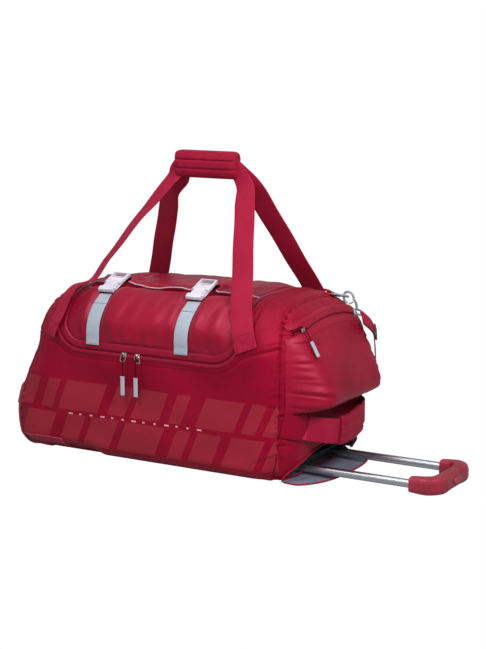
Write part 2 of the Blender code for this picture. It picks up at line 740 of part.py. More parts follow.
# ---------------------------------------------------------------- carry loops
CARRY_Y = -0.0042           # y of the front strap at the grip
CARRY_STRAIGHT = 0.027      # upright part of the strap either side of LOOP_Z
CARRY_HALF_W = 0.0245       # webbing half width
CARRY_TIP = 0.0165          # half width where it gathers at the grip
CARRY_HALF_T = 0.0009
SEWN_Z = (0.2375, 0.250, 0.263, 0.276, 0.289)   # heights where the strap lies on the body
# foot x, top x, outward direction of each leg
CARRY_LEGS = ((-0.262, -0.0825, -1), (0.190, 0.0845, 1))
# x, fullness of the padded grip
CARRY_GRIP = [(-0.0700, 0.72), (-0.0670, 0.92), (-0.058, 1.0), (0.058, 1.0), (0.0670, 0.92),
              (0.0700, 0.72)]


def carry_profile():
    """y, z of the front strap from its foot up to above the grip."""
    skin = [on_skin(0.0, t_of_z(z), 0.0036) for z in SEWN_Z]
    pts = [(p.y, p.z) for p in skin]
    y, z = pts[-1]
    top = LOOP_Z - CARRY_STRAIGHT
    pts += [(y + (CARRY_Y - y) * k / 6, z + (top - z) * k / 6) for k in range(1, 7)]
    return pts + [(CARRY_Y, LOOP_Z), (CARRY_Y, LOOP_Z + CARRY_STRAIGHT)]


PROFILE = carry_profile()
PROFILE_V = [0.0]           # length along the profile at each of its points
for start, end in zip(PROFILE, PROFILE[1:]):
    PROFILE_V.append(PROFILE_V[-1] + math.hypot(end[0] - start[0], end[1] - start[1]))
V_TOP = PROFILE_V[-2]       # length at LOOP_Z


def on_profile(v):
    """Point and direction at length v along the profile."""
    v = min(max(v, 0.0), PROFILE_V[-1])
    i = next(k for k in range(len(PROFILE) - 1) if v <= PROFILE_V[k + 1] + 1e-12)
    w = (v - PROFILE_V[i]) / (PROFILE_V[i + 1] - PROFILE_V[i])
    a, b = Vector((0, *PROFILE[i])), Vector((0, *PROFILE[i + 1]))
    return a + (b - a) * w, (b - a).normalized()


def carry_leg(foot_x, top_x, outward_x):
    """Outer and inner edge (x, v) from the foot up, ending with the mitre at the grip."""
    run = abs(top_x - foot_x)
    length = math.hypot(run, V_TOP)
    normal_x, normal_v = outward_x * V_TOP / length, run / length
    reach = CARRY_HALF_W / normal_x
    pairs = []
    for v in PROFILE_V:
        if v > V_TOP - 0.05:
            break
        x = foot_x + (top_x - foot_x) * v / V_TOP
        pairs.append(((x + reach, v), (x - reach, v)))
    mitre = normal_x / (1 + normal_v) * CARRY_TIP
    pairs.append(((top_x + mitre, V_TOP + CARRY_TIP), (top_x - mitre, V_TOP - CARRY_TIP)))
    return pairs


def build_carry_strap(name, s):
    left, right = (carry_leg(*leg) for leg in CARRY_LEGS)
    loops = []
    for outer, inner in left + right[::-1]:
        loop = []
        for (x, v), off in ((outer, CARRY_HALF_T), (inner, CARRY_HALF_T),
                            (inner, -CARRY_HALF_T), (outer, -CARRY_HALF_T)):
            p, along = on_profile(v)
            p = p + Vector((0, -along.z, along.y)) * off
            loop.append(Vector((x, -s * p.y, p.z)))
        loops.append(loop)
    loft(name, loops, "webbing", smooth=False)


def build_carry_grip(name, s):
    """Half of the padded grip: a C section round its own strap."""
    loops = []
    for x, full in CARRY_GRIP:
        outline = []
        for j in range(13):
            a = math.pi * j / 12
            outline.append((0.0006 + 0.0165 * full * math.sin(a) ** 0.6,
                            0.0278 * math.cos(a) * (0.90 + 0.10 * full)))
        outline += [(0.0006, -0.0222), (0.0068, -0.0222), (0.0068, 0.0222), (0.0006, 0.0222)]
        loops.append([Vector((x, s * y, LOOP_Z + z)) for y, z in outline])
    loft(name, loops, "webbing")


# ---------------------------------------------------------------- end pocket
POCKET_ARC_R = 0.45
POCKET_TOP = 0.304
POCKET_ARC_Z = POCKET_TOP - POCKET_ARC_R   # centre of the zip arc
POCKET_LOW = 0.140                         # straight bottom edge of the pocket
POCKET_Y = (-0.145, 0.139)
POCKET_ROWS, POCKET_COLS = 10, 14
POCKET_BULGE_END = 0.86                    # row fraction of the greatest depth
POCKET_TAPE_R = (POCKET_ARC_R + 0.0008, POCKET_ARC_R + 0.0088)
POCKET_TAPE_OFF = (0.0006, 0.0015)
POCKET_TAPE_Y = 0.128
POCKET_SLIDER_X, POCKET_SLIDER_Y = 0.2777, -0.112
PULL_TILT = math.radians(29)


def arc_z(y, r):
    return POCKET_ARC_Z + math.sqrt(r * r - y * y)


def pocket_depth(y, row):
    """Bulge of the pocket; row is 0 along the zip arc and 1 along the straight bottom."""
    depth = (0.006 * min(row / 0.08, 1.0) ** 0.6
             + 0.050 * math.sin(min(row, POCKET_BULGE_END) / POCKET_BULGE_END * math.pi / 2) ** 2)
    if row > POCKET_BULGE_END:
        fall = (row - POCKET_BULGE_END) / (1 - POCKET_BULGE_END)
        depth *= max(0.0, 1 - fall ** 2) ** 0.5
    edge = min(max(min(y - POCKET_Y[0], POCKET_Y[1] - y) / 0.055, 0.0), 1.0)
    return depth * (1 - (1 - edge) ** 2.2)


def skin_x(y, z):
    """x of the handle-end skin at y, z."""
    corner_y = HALF_D - R_PLAN
    if z > SHOULDER:
        rise = min(max((z - SHOULDER) / (CROWN - SHOULDER), 0.0), 1.0) ** (1 / TOP_Z_POWER)
        corner_y = max(HALF_D * math.cos(math.asin(rise)) ** TOP_Y_POWER - R_PLAN, 0.0)
    d = abs(y) - corner_y
    fall = R_PLAN - math.sqrt(max(R_PLAN ** 2 - d * d, 0.0)) if d > 0 else 0.0
    return smooth_table(RIGHT, z) - fall


def build_pocket():
    outer, inner = [], []
    for i in range(POCKET_ROWS + 1):
        row = i / POCKET_ROWS
        outer_row, inner_row = [], []
        for j in range(POCKET_COLS + 1):
            y = POCKET_Y[0] + (POCKET_Y[1] - POCKET_Y[0]) * j / POCKET_COLS
            z = arc_z(y, POCKET_ARC_R) * (1 - row) + POCKET_LOW * row
            base = skin_x(y, z) + 0.0016
            depth = pocket_depth(y, row)
            inside = 0 < i < POCKET_ROWS and 0 < j < POCKET_COLS
            outer_row.append(Vector((base + 0.0022 + depth, y, z)))
            inner_row.append(Vector((base + (depth * 0.93 if inside else 0.0), y, z)))
        outer.append(outer_row)
        inner.append(inner_row)
    two_skins("end_pocket", outer, inner, "nylon")


def build_pocket_tape():
    (r0, r1), (off0, off1) = POCKET_TAPE_R, POCKET_TAPE_OFF
    loops = []
    for k in range(15):
        y = -POCKET_TAPE_Y + 2 * POCKET_TAPE_Y * k / 14
        loop = []
        for r, off in ((r0, off0), (r1, off0), (r1, off1), (r0, off1)):
            z = arc_z(y, r)
            loop.append(Vector((skin_x(y, z) + off, y, z)))
        loops.append(loop)
    loft("pocket_zip_tape", loops, "zip", smooth=False)


def build_pocket_slider():
    angle = math.asin(POCKET_SLIDER_Y / POCKET_ARC_R)
    radial = Vector((0, math.sin(angle), math.cos(angle)))
    along = Vector((0, math.cos(angle), -math.sin(angle)))
    centre = Vector((POCKET_SLIDER_X, 0, POCKET_ARC_Z)) + radial * (POCKET_ARC_R + 0.0046)
    block("pocket_slider", (-0.0055, -0.0036, 0.0), (0.0055, 0.0036, 0.0036), "steel", 0.0010,
          frame_at(centre, along, radial, X_AXIS))
    down = Vector((math.sin(PULL_TILT), 0, -math.cos(PULL_TILT)))
    out = Vector((math.cos(PULL_TILT), 0, math.sin(PULL_TILT)))
    frame = frame_at(centre + X_AXIS * 0.0062, Vector((0, 1, 0)), down, out)
    pull = block("pocket_pull", (-0.0042, 0.0240, 0.0004), (0.0042, 0.0560, 0.0040), "hardware",
                 0.0012, frame)
    cord = [frame @ Vector((0, s, 0.0022)) for s in (0.0, 0.008, 0.016, 0.0270)]
    boolean(pull, sweep("cut_pocket_cord", cord, circle(CORD_R, 6)), "UNION")


# ---------------------------------------------------------------- end grab handle
# centre line of the band: x, y, z
GRAB = [
    (0.2915, -0.124, 0.111), (0.3010, -0.106, 0.106), (0.3150, -0.076, 0.098),
    (0.3240, -0.048, 0.093), (0.3270, -0.018, 0.093), (0.3255, 0.018, 0.096),
    (0.3205, 0.048, 0.099), (0.3125, 0.076, 0.101), (0.3010, 0.106, 0.101),
    (0.2915, 0.124, 0.100),
]


def upright_loops(pts, outline):
    """The outline at every point, with its first direction held upright."""
    pts = [Vector(p) for p in pts]
    loops = []
    for i, p in enumerate(pts):
        along = tangent(pts, i)
        up = square_to(along, Vector((0, 0, 1)))
        loops.append(placed(outline, p, up, along.cross(up).normalized()))
    return loops


def build_grab_handle():
    loft("grab_band", upright_loops(GRAB, rectangle(0.0230, 0.0010)), "webbing", smooth=False)
    middle = GRAB[3:7]
    loft("grab_sleeve", upright_loops(middle, rounded(0.0275, 0.0068, 0.5)), "webbing",
         inner=upright_loops(middle, rounded(0.0258, 0.0026, 0.5)))


# ---------------------------------------------------------------- garage flap on the floor
FLAP_HALF_Y = 0.1330
FLAP_X = 0.2655             # straight edge of the flap


def build_garage_flap():
    loops = []
    for k in range(15):
        y = -FLAP_HALF_Y + 2 * FLAP_HALF_Y * k / 14
        bow = max(0.0, 1 - abs(y / 0.1345) ** 2.6) ** (1 / 1.9)
        x_end = 0.2700 + 0.056 * bow
        top, low = [], []
        for s in (0.0, 0.25, 0.5, 1.0):
            x = FLAP_X + (x_end - FLAP_X) * s
            lift = 0.0036 * (1 - s) ** 2
            top.append(Vector((x, y, 0.0024 + lift)))
            low.append(Vector((x, y, 0.0006 + lift)))
        loops.append(top + low[::-1])
    loft("garage_flap", loops, "nylon", smooth=False)


# ---------------------------------------------------------------- shoulder strap fittings
# x, y of the ring at each end
RING_AT = {"right": (0.238, 0.098), "left": (-0.283, 0.114)}
BAR_X, BAR_Z = 0.0400, -0.0020    # strap bar in the hook's frame


def build_d_ring(name, centre, out, across):
    path = []
    for k in range(12):
        a = math.pi * k / 11
        path.append(centre + across * (0.019 * math.cos(a)) + out * (0.004 + 0.020 * math.sin(a)))
    path += [centre - across * 0.017 - out * 0.001, centre + across * 0.017 - out * 0.001]
    sweep(name, path, circle(0.0022, 10), "hardware", closed=True)


def build_hook(end, frame):
    """A C-shaped hook with a gate across its mouth and a strap frame at the far end."""
    def at(pts):
        return [frame @ Vector(p) for p in pts]

    bend = []
    for k in range(15):
        a = math.radians(-62 - 256 * k / 14)
        bend.append((0.013225 * math.cos(a), 0, 0.0100 * math.sin(a)))
    hook = sweep("snap_hook_" + end, at(bend + [(0.0190, 0, 0.0066), (0.0304, 0, 0.0012)]),
                 circle(0.0025, 8), "hardware")
    sweep("hook_gate_" + end,
          at([(0.0098, 0, -0.0062), (0.0120, 0, -0.0020), (0.0124, 0, 0.0024)]),
          circle(0.0015, 6), "hardware")
    bars = at([(0.0305, -0.0150, 0.0010), (0.0305, 0.0150, 0.0010),
               (BAR_X, 0.0150, BAR_Z), (BAR_X, -0.0150, BAR_Z)])
    boolean(hook, sweep("cut_hook_bar_" + end, bars, circle(0.0019, 8), closed=True), "UNION")


def build_strap_end(end, s):
    """Tab, ring and hook at one end; returns the middle of the strap bar."""
    x, y = RING_AT[end]
    t = t_of_y(y)
    normal = skin_normal(x, t)
    out = square_to(normal, X_AXIS * s)
    across = normal.cross(out).normalized()
    frame = frame_at(on_skin(x, t, 0.0), out, across, normal)
    block("ring_tab_" + end, (-0.022, -0.0135, 0.0028), (-0.0005, 0.0135, 0.0056), "webbing",
          0.0006, frame, segments=1)
    lean = (frame.to_3x3() @ Vector((0.93, 0, 0.36))).normalized()
    build_d_ring("d_ring_" + end, frame @ Vector((0.0030, 0, 0.0062)), lean, across)
    hook_frame = (frame @ Matrix.Translation((0.0300, 0, 0.0140))
                  @ Matrix.Rotation(math.radians(24), 4, "Y"))
    build_hook(end, hook_frame)
    return hook_frame @ Vector((BAR_X, 0, BAR_Z))


# ---------------------------------------------------------------- shoulder strap
# x, y, z of the strap between its two bars, from the handle end round the back
STRAP_WAY = [
    (0.311, 0.128, 0.262), (0.308, 0.143, 0.225), (0.290, 0.171, 0.180), (0.252, 0.188, 0.138),
    (0.196, 0.1890, 0.104), (0.120, 0.1880, 0.078), (0.040, 0.1880, 0.068),
    (-0.040, 0.1880, 0.068), (-0.120, 0.1880, 0.080), (-0.205, 0.1880, 0.104),
    (-0.284, 0.1900, 0.142), (-0.350, 0.172, 0.192), (-0.354, 0.136, 0.240),
]
PAD_STATIONS_USED = slice(18, 26)   # stations of the strap inside the shoulder pad


def smooth_path(pts, steps):
    """Catmull-Rom curve through the points."""
    out = []
    last = len(pts) - 1
    for i in range(last):
        p0, p1, p2, p3 = pts[max(i - 1, 0)], pts[i], pts[i + 1], pts[min(i + 2, last)]
        for k in range(steps):
            t = k / steps
            out.append(0.5 * ((2 * p1) + (p2 - p0) * t + (2 * p0 - 5 * p1 + 4 * p2 - p3) * t * t
                              + (3 * p1 - p0 - 3 * p2 + p3) * t ** 3))
    return out + [pts[-1]]


def strap_facing(p, from_end):
    """Rough direction of the strap's outer face, from_end stations from the nearer end."""
    sign = 1 if p.x > 0 else -1
    if from_end < 3:
        return Vector((sign, 0.1, 0.5))
    if from_end < 12:
        return Vector((sign, 0.45, 0.1))
    return Vector((p.x / 0.30 if abs(p.x) > 0.24 else 0.0, 1.0, 0.0))


def build_shoulder_strap(right_bar, left_bar):
    way = [right_bar + Vector((0.0065, 0.004, -0.006)), *(Vector(p) for p in STRAP_WAY),
           left_bar + Vector((-0.0085, 0.004, -0.010))]
    path = smooth_path(way, 3)
    last = len(path) - 1
    along = [tangent(path, i) for i in range(last + 1)]
    across = []
    for i, (p, d) in enumerate(zip(path, along)):
        facing = square_to(d, strap_facing(p, min(i, last - i)))
        across.append(d.cross(facing).normalized())
    # even out the twist along the strap
    for _ in range(4):
        across = [square_to(d, (across[max(i - 1, 0)] + across[min(i + 1, last)]
                                + across[i] * 2).normalized())
                  for i, d in enumerate(along)]
    stations = [(p, w, w.cross(d).normalized()) for p, w, d in zip(path, across, along)]

    loft("shoulder_strap", [placed(rectangle(0.015, 0.0009), *station) for station in stations],
         "webbing", smooth=False)
    padded = stations[PAD_STATIONS_USED]
    shift = Vector((0, 0.0002, 0))
    loft("shoulder_pad",
         [placed(rounded(0.0270, 0.0075, 0.45), p + shift, w, r) for p, w, r in padded], "nylon",
         inner=[placed(rounded(0.0175, 0.0024, 0.3), *station) for station in padded])


# ---------------------------------------------------------------- build
build_shell()
build_board()
build_belly_pad()
for side_name, sign_y in SIDES:
    build_wheel(side_name, sign_y * WHEEL_Y)
build_tubes()
build_tow_grip()
build_lid()
for side_name, pull_x in ZIP_PULLS:
    build_zip_pull(side_name, pull_x)
for side_name, sign_y in SIDES:
    build_carry_strap("carry_strap_" + side_name, sign_y)
    build_carry_grip("carry_grip_" + side_name, sign_y)
build_pocket()
build_pocket_tape()
build_pocket_slider()
build_grab_handle()
build_garage_flap()
build_shoulder_strap(*(build_strap_end(end_name, sign_x) for end_name, sign_x in ENDS))
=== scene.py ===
"""Looks of a wheeled duffel bag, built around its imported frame.

Metres, +Z up, -Y the front, +X (right) the end with the tow handle, wheels at -X (left).
A place on the bag's skin is given by two of these:
  share  how far along the bag, 0 at the left end, 1 at the right end
  turn   how far round the cross-section, from 0 mid-floor by the front and the crown (0.5) to 1
  arc    distance over the skin from the lid's front edge towards the hinge
"""
import math
from math import pi

import bpy
import bmesh
import numpy as np
from mathutils import Matrix, Vector, noise

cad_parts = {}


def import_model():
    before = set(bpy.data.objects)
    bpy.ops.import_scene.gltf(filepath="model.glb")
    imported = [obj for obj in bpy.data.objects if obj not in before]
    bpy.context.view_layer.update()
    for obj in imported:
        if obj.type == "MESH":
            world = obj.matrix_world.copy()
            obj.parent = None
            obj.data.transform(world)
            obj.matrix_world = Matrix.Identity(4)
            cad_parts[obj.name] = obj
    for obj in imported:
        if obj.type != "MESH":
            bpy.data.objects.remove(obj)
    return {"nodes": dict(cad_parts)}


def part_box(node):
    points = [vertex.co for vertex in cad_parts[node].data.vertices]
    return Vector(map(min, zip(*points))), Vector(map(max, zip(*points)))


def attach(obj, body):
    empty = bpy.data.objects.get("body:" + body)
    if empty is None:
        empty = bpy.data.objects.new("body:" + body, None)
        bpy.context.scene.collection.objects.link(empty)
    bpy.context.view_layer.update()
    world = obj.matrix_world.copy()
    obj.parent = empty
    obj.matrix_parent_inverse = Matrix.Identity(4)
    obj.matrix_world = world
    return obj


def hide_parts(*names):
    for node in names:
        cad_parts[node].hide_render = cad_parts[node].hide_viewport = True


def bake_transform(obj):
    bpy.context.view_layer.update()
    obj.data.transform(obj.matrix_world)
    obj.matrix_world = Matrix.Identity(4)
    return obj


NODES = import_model()["nodes"]
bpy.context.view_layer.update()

# ---------------------------------------------------------------- driving dimensions
LENGTH = 0.62                   # nominal length of the body
HALF_DEPTH = 0.176
CROWN_Z = 0.348
FLOOR_Z = 0.0045
SHOULDER_Z = 0.205              # where the upright walls turn into the dome
PLAN_RADIUS = 0.072             # upright corners, seen from above
FOOT_RADIUS = 0.030
DOME_Y_POWER, DOME_Z_POWER = 0.62, 0.80
LEFT_END = [                    # z, x of the left end's profile
    (0.0, -0.362), (0.03, -0.380), (0.07, -0.386), (0.11, -0.380), (0.14, -0.364), (0.18, -0.343),
    (0.22, -0.328), (0.26, -0.322), (0.30, -0.310), (0.33, -0.292), (0.36, -0.270)]
RIGHT_END = [                   # z, x of the right end's profile
    (0.0, 0.262), (0.04, 0.278), (0.12, 0.285), (0.20, 0.285), (0.28, 0.280), (0.33, 0.262),
    (0.36, 0.245)]
RIGHT_SEAM, LEFT_SEAM = 0.955, 0.042        # shares where the end panels are sewn on
LID_LEFT, LID_RIGHT = -0.243, 0.170
LID_EDGE_Z, LID_RADIUS, HINGE_Y = 0.2285, 0.055, 0.125
STRAP_X = {"left": -0.160, "right": 0.047}  # straps that run over the lid
LOOP_Z = 0.583                              # height of the carry loops' grip


# ---------------------------------------------------------------- numbers
def hermite(rows, at):
    """Smooth curve through (position, value) rows, held at its ends."""
    xs, ys = np.array(rows).T
    slope = np.empty_like(ys)
    slope[1:-1] = (ys[2:] - ys[:-2]) / (xs[2:] - xs[:-2])
    slope[0] = (ys[1] - ys[0]) / (xs[1] - xs[0])
    slope[-1] = (ys[-1] - ys[-2]) / (xs[-1] - xs[-2])
    at = np.clip(np.asarray(at, float), xs[0], xs[-1])
    i = np.clip(np.searchsorted(xs, at, side="left") - 1, 0, len(xs) - 2)
    gap = xs[i + 1] - xs[i]
    k = (at - xs[i]) / gap
    return (ys[i] * (2 * k ** 3 - 3 * k ** 2 + 1) + slope[i] * gap * (k ** 3 - 2 * k ** 2 + k)
            + ys[i + 1] * (-2 * k ** 3 + 3 * k ** 2) + slope[i + 1] * gap * (k ** 3 - k ** 2))


def drop(distance, radius):
    """How far a rounded corner falls back at a distance from its end."""
    distance = np.clip(distance, 0.0, radius)
    return radius - np.sqrt(np.maximum(radius * radius - (radius - distance) ** 2, 0.0))


def rounded(rise):
    """Quarter circle from 0 to 1."""
    return np.sqrt(np.maximum(1 - (1 - rise) ** 2, 0))


def bell(distance, width):
    return np.exp(-(distance / width) ** 2)


def ease(value, start, end):
    """Smooth step from 0 at start to 1 at end."""
    k = np.clip((value - start) / (end - start), 0, 1)
    return k * k * (3 - 2 * k)


def noise_at(x, y, z=0.0):
    """Smooth noise, -1 to 1, at each place."""
    x, y, z = np.broadcast_arrays(x, y, z)
    values = [noise.noise(Vector(place)) for place in zip(x.flat, y.flat, z.flat)]
    return np.reshape(values, x.shape)


def rumple(points, scale, seed):
    return noise_at(*np.moveaxis(points * np.asarray(scale) + seed, -1, 0))


def unit(vectors):
    vectors = np.asarray(vectors, float)
    return vectors / np.linalg.norm(vectors, axis=-1, keepdims=True)


def lengths(curve):
    """Distance along a curve at each of its points."""
    steps = np.linalg.norm(np.diff(curve, axis=0), axis=1)
    return np.concatenate([[0], np.cumsum(steps)])


def columns(at, known, table):
    """Each column of a table, interpolated."""
    return np.stack([np.interp(at, known, column) for column in np.asarray(table).T], -1)


# ---------------------------------------------------------------- the bag's skin, as in the CAD
def section(share, turn):
    """y and z: flat floor, rounded foot, upright wall and dome end at 0.2, 0.3, 0.6 and 1."""
    share, turn = np.broadcast_arrays(np.asarray(share, float), np.asarray(turn, float))
    left, right = share * LENGTH, (1 - share) * LENGTH
    half_y = HALF_DEPTH - drop(left, PLAN_RADIUS) - drop(right, PLAN_RADIUS)
    top = (CROWN_Z - drop(left, 0.085) * 0.42 - drop(right, 0.08) * 0.42
           - 0.008 * ((share - 0.5) / 0.5) ** 2)
    low = FLOOR_Z + drop(left, 0.02) * 0.6 + drop(right, 0.02) * 0.6
    climb = np.where(turn <= 0.5, turn * 2, (1 - turn) * 2)
    foot = (climb - 0.2) / 0.1 * pi / 2
    wall = (climb - 0.3) / 0.3
    dome = np.clip((climb - 0.6) / 0.4, 0, 1) * pi / 2
    foot_y = half_y - FOOT_RADIUS
    wall_z = low + FOOT_RADIUS
    parts = [climb < 0.2, climb < 0.3, climb < 0.6]
    y = np.select(parts, [foot_y * climb / 0.2, foot_y + FOOT_RADIUS * np.sin(foot), half_y],
                  half_y * np.maximum(np.cos(dome), 0) ** DOME_Y_POWER)
    z = np.select(parts, [low, wall_z - FOOT_RADIUS * np.cos(foot),
                          wall_z + (SHOULDER_Z - low - FOOT_RADIUS) * wall],
                  SHOULDER_Z + (top - SHOULDER_Z) * np.maximum(np.sin(dome), 0) ** DOME_Z_POWER)
    return np.where(turn <= 0.5, -1.0, 1.0) * y, z


def body_point(share, turn):
    y, z = section(share, turn)
    left, right = hermite(LEFT_END, z), hermite(RIGHT_END, z)
    return np.stack([left + (right - left) * share, y, z], -1)


def share_at_x(x, turn):
    x, turn = np.broadcast_arrays(np.asarray(x, float), np.asarray(turn, float))
    share = np.full(x.shape, 0.5)
    for _ in range(6):
        _, z = section(share, turn)
        left, right = hermite(LEFT_END, z), hermite(RIGHT_END, z)
        share = (x - left) / (right - left)
    return share


def at_x(x, turn):
    x, turn = np.broadcast_arrays(np.asarray(x, float), np.asarray(turn, float))
    y, z = section(share_at_x(x, turn), turn)
    return np.stack([x, y, z], -1)


def face_out(normals, points):
    """Turns each normal away from the bag's long axis."""
    away = points * np.array([0, 1, 1]) - np.array([0, 0, 0.15])
    return normals * np.where((normals * away).sum(-1, keepdims=True) < 0, -1, 1)


def skin_normal(x, turn):
    x, turn = np.broadcast_arrays(np.asarray(x, float), np.asarray(turn, float))
    along = at_x(x + 0.002, turn) - at_x(x - 0.002, turn)
    round_ = at_x(x, np.minimum(turn + 0.002, 0.999)) - at_x(x, np.maximum(turn - 0.002, 0.001))
    normal = np.cross(along, round_)
    normal /= np.linalg.norm(normal, axis=-1, keepdims=True) + 1e-12
    return face_out(normal, at_x(x, turn))


def on_skin(x, turn, off=0.0):
    """Point on the skin, lifted off it by `off`."""
    return at_x(x, turn) + skin_normal(x, turn) * np.asarray(off)[..., None]


FRONT_TURNS = np.linspace(0.15, 0.5, 4001)
FRONT_Z = section(0.5, FRONT_TURNS)[1]


def turn_at_z(z):
    return np.interp(z, FRONT_Z, FRONT_TURNS)


def turn_at_y(y):
    y = np.asarray(y, float)
    angle = np.arccos(np.minimum(np.abs(y) / HALF_DEPTH, 1.0) ** (1 / DOME_Y_POWER))
    climb = 0.6 + 0.4 * angle / (pi / 2)
    return np.where(y < 0, climb / 2, 1 - climb / 2)


EDGE_TURN = float(turn_at_z(LID_EDGE_Z))
HINGE_TURN = float(turn_at_y(HINGE_Y))
ARC_TURNS = np.linspace(EDGE_TURN - 0.10, min(HINGE_TURN + 0.12, 0.95), 3000)
ARCS = lengths(np.stack(section(0.5, ARC_TURNS), -1))
ARCS = ARCS - np.interp(EDGE_TURN, ARC_TURNS, ARCS)
LID_ARC = float(np.interp(HINGE_TURN, ARC_TURNS, ARCS))


def turn_at_arc(arc):
    return np.interp(arc, ARCS, ARC_TURNS)


def arc_at_turn(turn):
    return np.interp(turn, ARC_TURNS, ARCS)


def arc_at_y(y):
    return float(arc_at_turn(float(turn_at_y(y))))


def on_arc(x, arc, off=0.0):
    return on_skin(x, turn_at_arc(arc), off)


def arc_normal(x, arc):
    return skin_normal(x, turn_at_arc(arc))


def lid_distance(x, arc):
    """Distance over the skin from the lid's outline, below zero on the lid."""
    middle, half = (LID_LEFT + LID_RIGHT) / 2, (LID_RIGHT - LID_LEFT) / 2
    over_x, over_arc = np.abs(x - middle) - (half - LID_RADIUS), LID_RADIUS - arc
    return (np.hypot(np.maximum(over_x, 0), np.maximum(over_arc, 0))
            + np.minimum(np.maximum(over_x, over_arc), 0) - LID_RADIUS)


def outline(margin):
    """x and arc round the lid at a margin, from its left rear to its right rear."""
    radius, end = LID_RADIUS + margin, LID_ARC - 0.002
    angle = np.linspace(0, pi / 2, 15)[1:]
    left, right = LID_LEFT + LID_RADIUS, LID_RIGHT - LID_RADIUS
    x = [np.full(47, LID_LEFT - margin), left - radius * np.cos(angle),
         np.linspace(left, right, 85)[1:],
         right + radius * np.sin(angle), np.full(46, LID_RIGHT + margin)]
    arc = [np.linspace(end, LID_RADIUS, 47), LID_RADIUS - radius * np.sin(angle),
           np.full(84, -margin),
           LID_RADIUS - radius * np.cos(angle), np.linspace(LID_RADIUS, end, 47)[1:]]
    return np.concatenate(x), np.concatenate(arc)


def end_x(y, z):
    """x of the right end panel and its rounded corners."""
    y, z = np.asarray(y, float), np.asarray(z, float)
    rise = np.clip((z - SHOULDER_Z) / (CROWN_Z - SHOULDER_Z), 0, 1) ** (1 / DOME_Z_POWER)
    dome_y = HALF_DEPTH * np.cos(np.arcsin(rise)) ** DOME_Y_POWER
    over = np.abs(y) - np.maximum(np.where(z > SHOULDER_Z, dome_y, HALF_DEPTH) - PLAN_RADIUS, 0)
    back = PLAN_RADIUS - np.sqrt(np.maximum(PLAN_RADIUS ** 2 - over * over, 0))
    return hermite(RIGHT_END, z) - np.where(over > 0, back, 0)


def end_normal(y):
    lean = np.clip((np.abs(y) - (HALF_DEPTH - PLAN_RADIUS)) / PLAN_RADIUS, 0, 0.98)
    return np.stack([np.sqrt(1 - lean * lean), np.sign(y) * lean, 0 * y], -1)


def end_point(y, z, off):
    return np.stack([end_x(y, z), y, z], -1) + end_normal(y) * off


# ---------------------------------------------------------------- materials
def srgb(*colour):
    def linear(c):
        c /= 255.0
        return c / 12.92 if c <= 0.04045 else ((c + 0.055) / 1.055) ** 2.4
    return tuple(linear(c) for c in colour) + (1.0,)


class Shader:
    """A new material, with short ways to add nodes."""

    def __init__(self, name):
        self.material = bpy.data.materials.new(name)
        self.material.use_nodes = True
        self.tree = self.material.node_tree
        self.coord = self.add("TexCoord").outputs["Object"]

    def add(self, kind, inputs=None, **settings):
        node = self.tree.nodes.new("ShaderNode" + kind)
        for key, value in settings.items():
            setattr(node, key, value)
        self.fill(node, inputs or {})
        return node

    def fill(self, node, inputs):
        for key, value in inputs.items():
            if isinstance(value, bpy.types.NodeSocket):
                self.tree.links.new(value, node.inputs[key])
            else:
                node.inputs[key].default_value = value

    def finish(self, inputs):
        self.fill(self.tree.nodes["Principled BSDF"], inputs)
        return self.material

    def noise(self, scale, detail=2.0, rough=0.5, vector=None):
        return self.add("TexNoise", {"Vector": vector or self.coord, "Scale": scale,
                                     "Detail": detail, "Roughness": rough}).outputs["Fac"]

    def wave(self, period, axis, vector=None):
        return self.add("TexWave", {"Vector": vector or self.coord, "Scale": pi / (10 * period),
                                    "Detail": 0.0}, bands_direction=axis).outputs["Fac"]

    def math(self, operation, first, second):
        return self.add("Math", {0: first, 1: second}, operation=operation).outputs[0]

    def times(self, first, second):
        return self.math("MULTIPLY", first, second)

    def plus(self, first, second):
        return self.math("ADD", first, second)

    def between(self, value, low, high):
        return self.times(self.math("GREATER_THAN", value, low),
                          self.math("LESS_THAN", value, high))

    def span(self, value, low, high, to_low=0.0, to_high=1.0):
        return self.add("MapRange", {"Value": value, "From Min": low, "From Max": high,
                                     "To Min": to_low, "To Max": to_high}).outputs["Result"]

    def mix(self, factor, first, second):
        return self.add("Mix", {0: factor, 6: first, 7: second}, data_type="RGBA").outputs[2]

    def steps(self, factor, stops):
        """Hard-edged ramp through (position, brightness) stops."""
        node = self.add("ValToRGB", {"Fac": factor})
        ramp = node.color_ramp
        ramp.interpolation = "CONSTANT"
        while len(ramp.elements) < len(stops):
            ramp.elements.new(0.5)
        for element, (position, value) in zip(ramp.elements, stops):
            element.position = position
            element.color = (value, value, value, 1)
        return node.outputs["Color"]

    def bump(self, height, strength, distance, normal=None):
        inputs = {"Height": height, "Strength": strength, "Distance": distance}
        if normal is not None:
            inputs["Normal"] = normal
        return self.add("Bump", inputs).outputs["Normal"]

    def axis(self, i):
        return self.add("SeparateXYZ", {"Vector": self.coord}).outputs[i]


PRINT_LEFT, PRINT_LENGTH = -0.42, 0.68
# widths of bar, gap, bar, ... from the left
UPPER_BARS = (0.052, 0.022, 0.030, 0.016, 0.094, 0.026, 0.038, 0.018, 0.066, 0.020, 0.030, 0.034,
              0.084, 0.018, 0.028, 0.016, 0.060)
LOWER_BARS = (0.030, 0.018, 0.072, 0.030, 0.040, 0.018, 0.062, 0.020, 0.090, 0.028, 0.034, 0.016,
              0.052, 0.020, 0.072, 0.018, 0.050)


def bar_stops(widths):
    stops, position = [(0.0, 0.0)], 0.012
    for i, width in enumerate(widths):
        stops.append((position / PRINT_LENGTH, 1.0 if i % 2 == 0 else 0.0))
        position += width
    return stops + [(min(position / PRINT_LENGTH, 1.0), 0.0)]


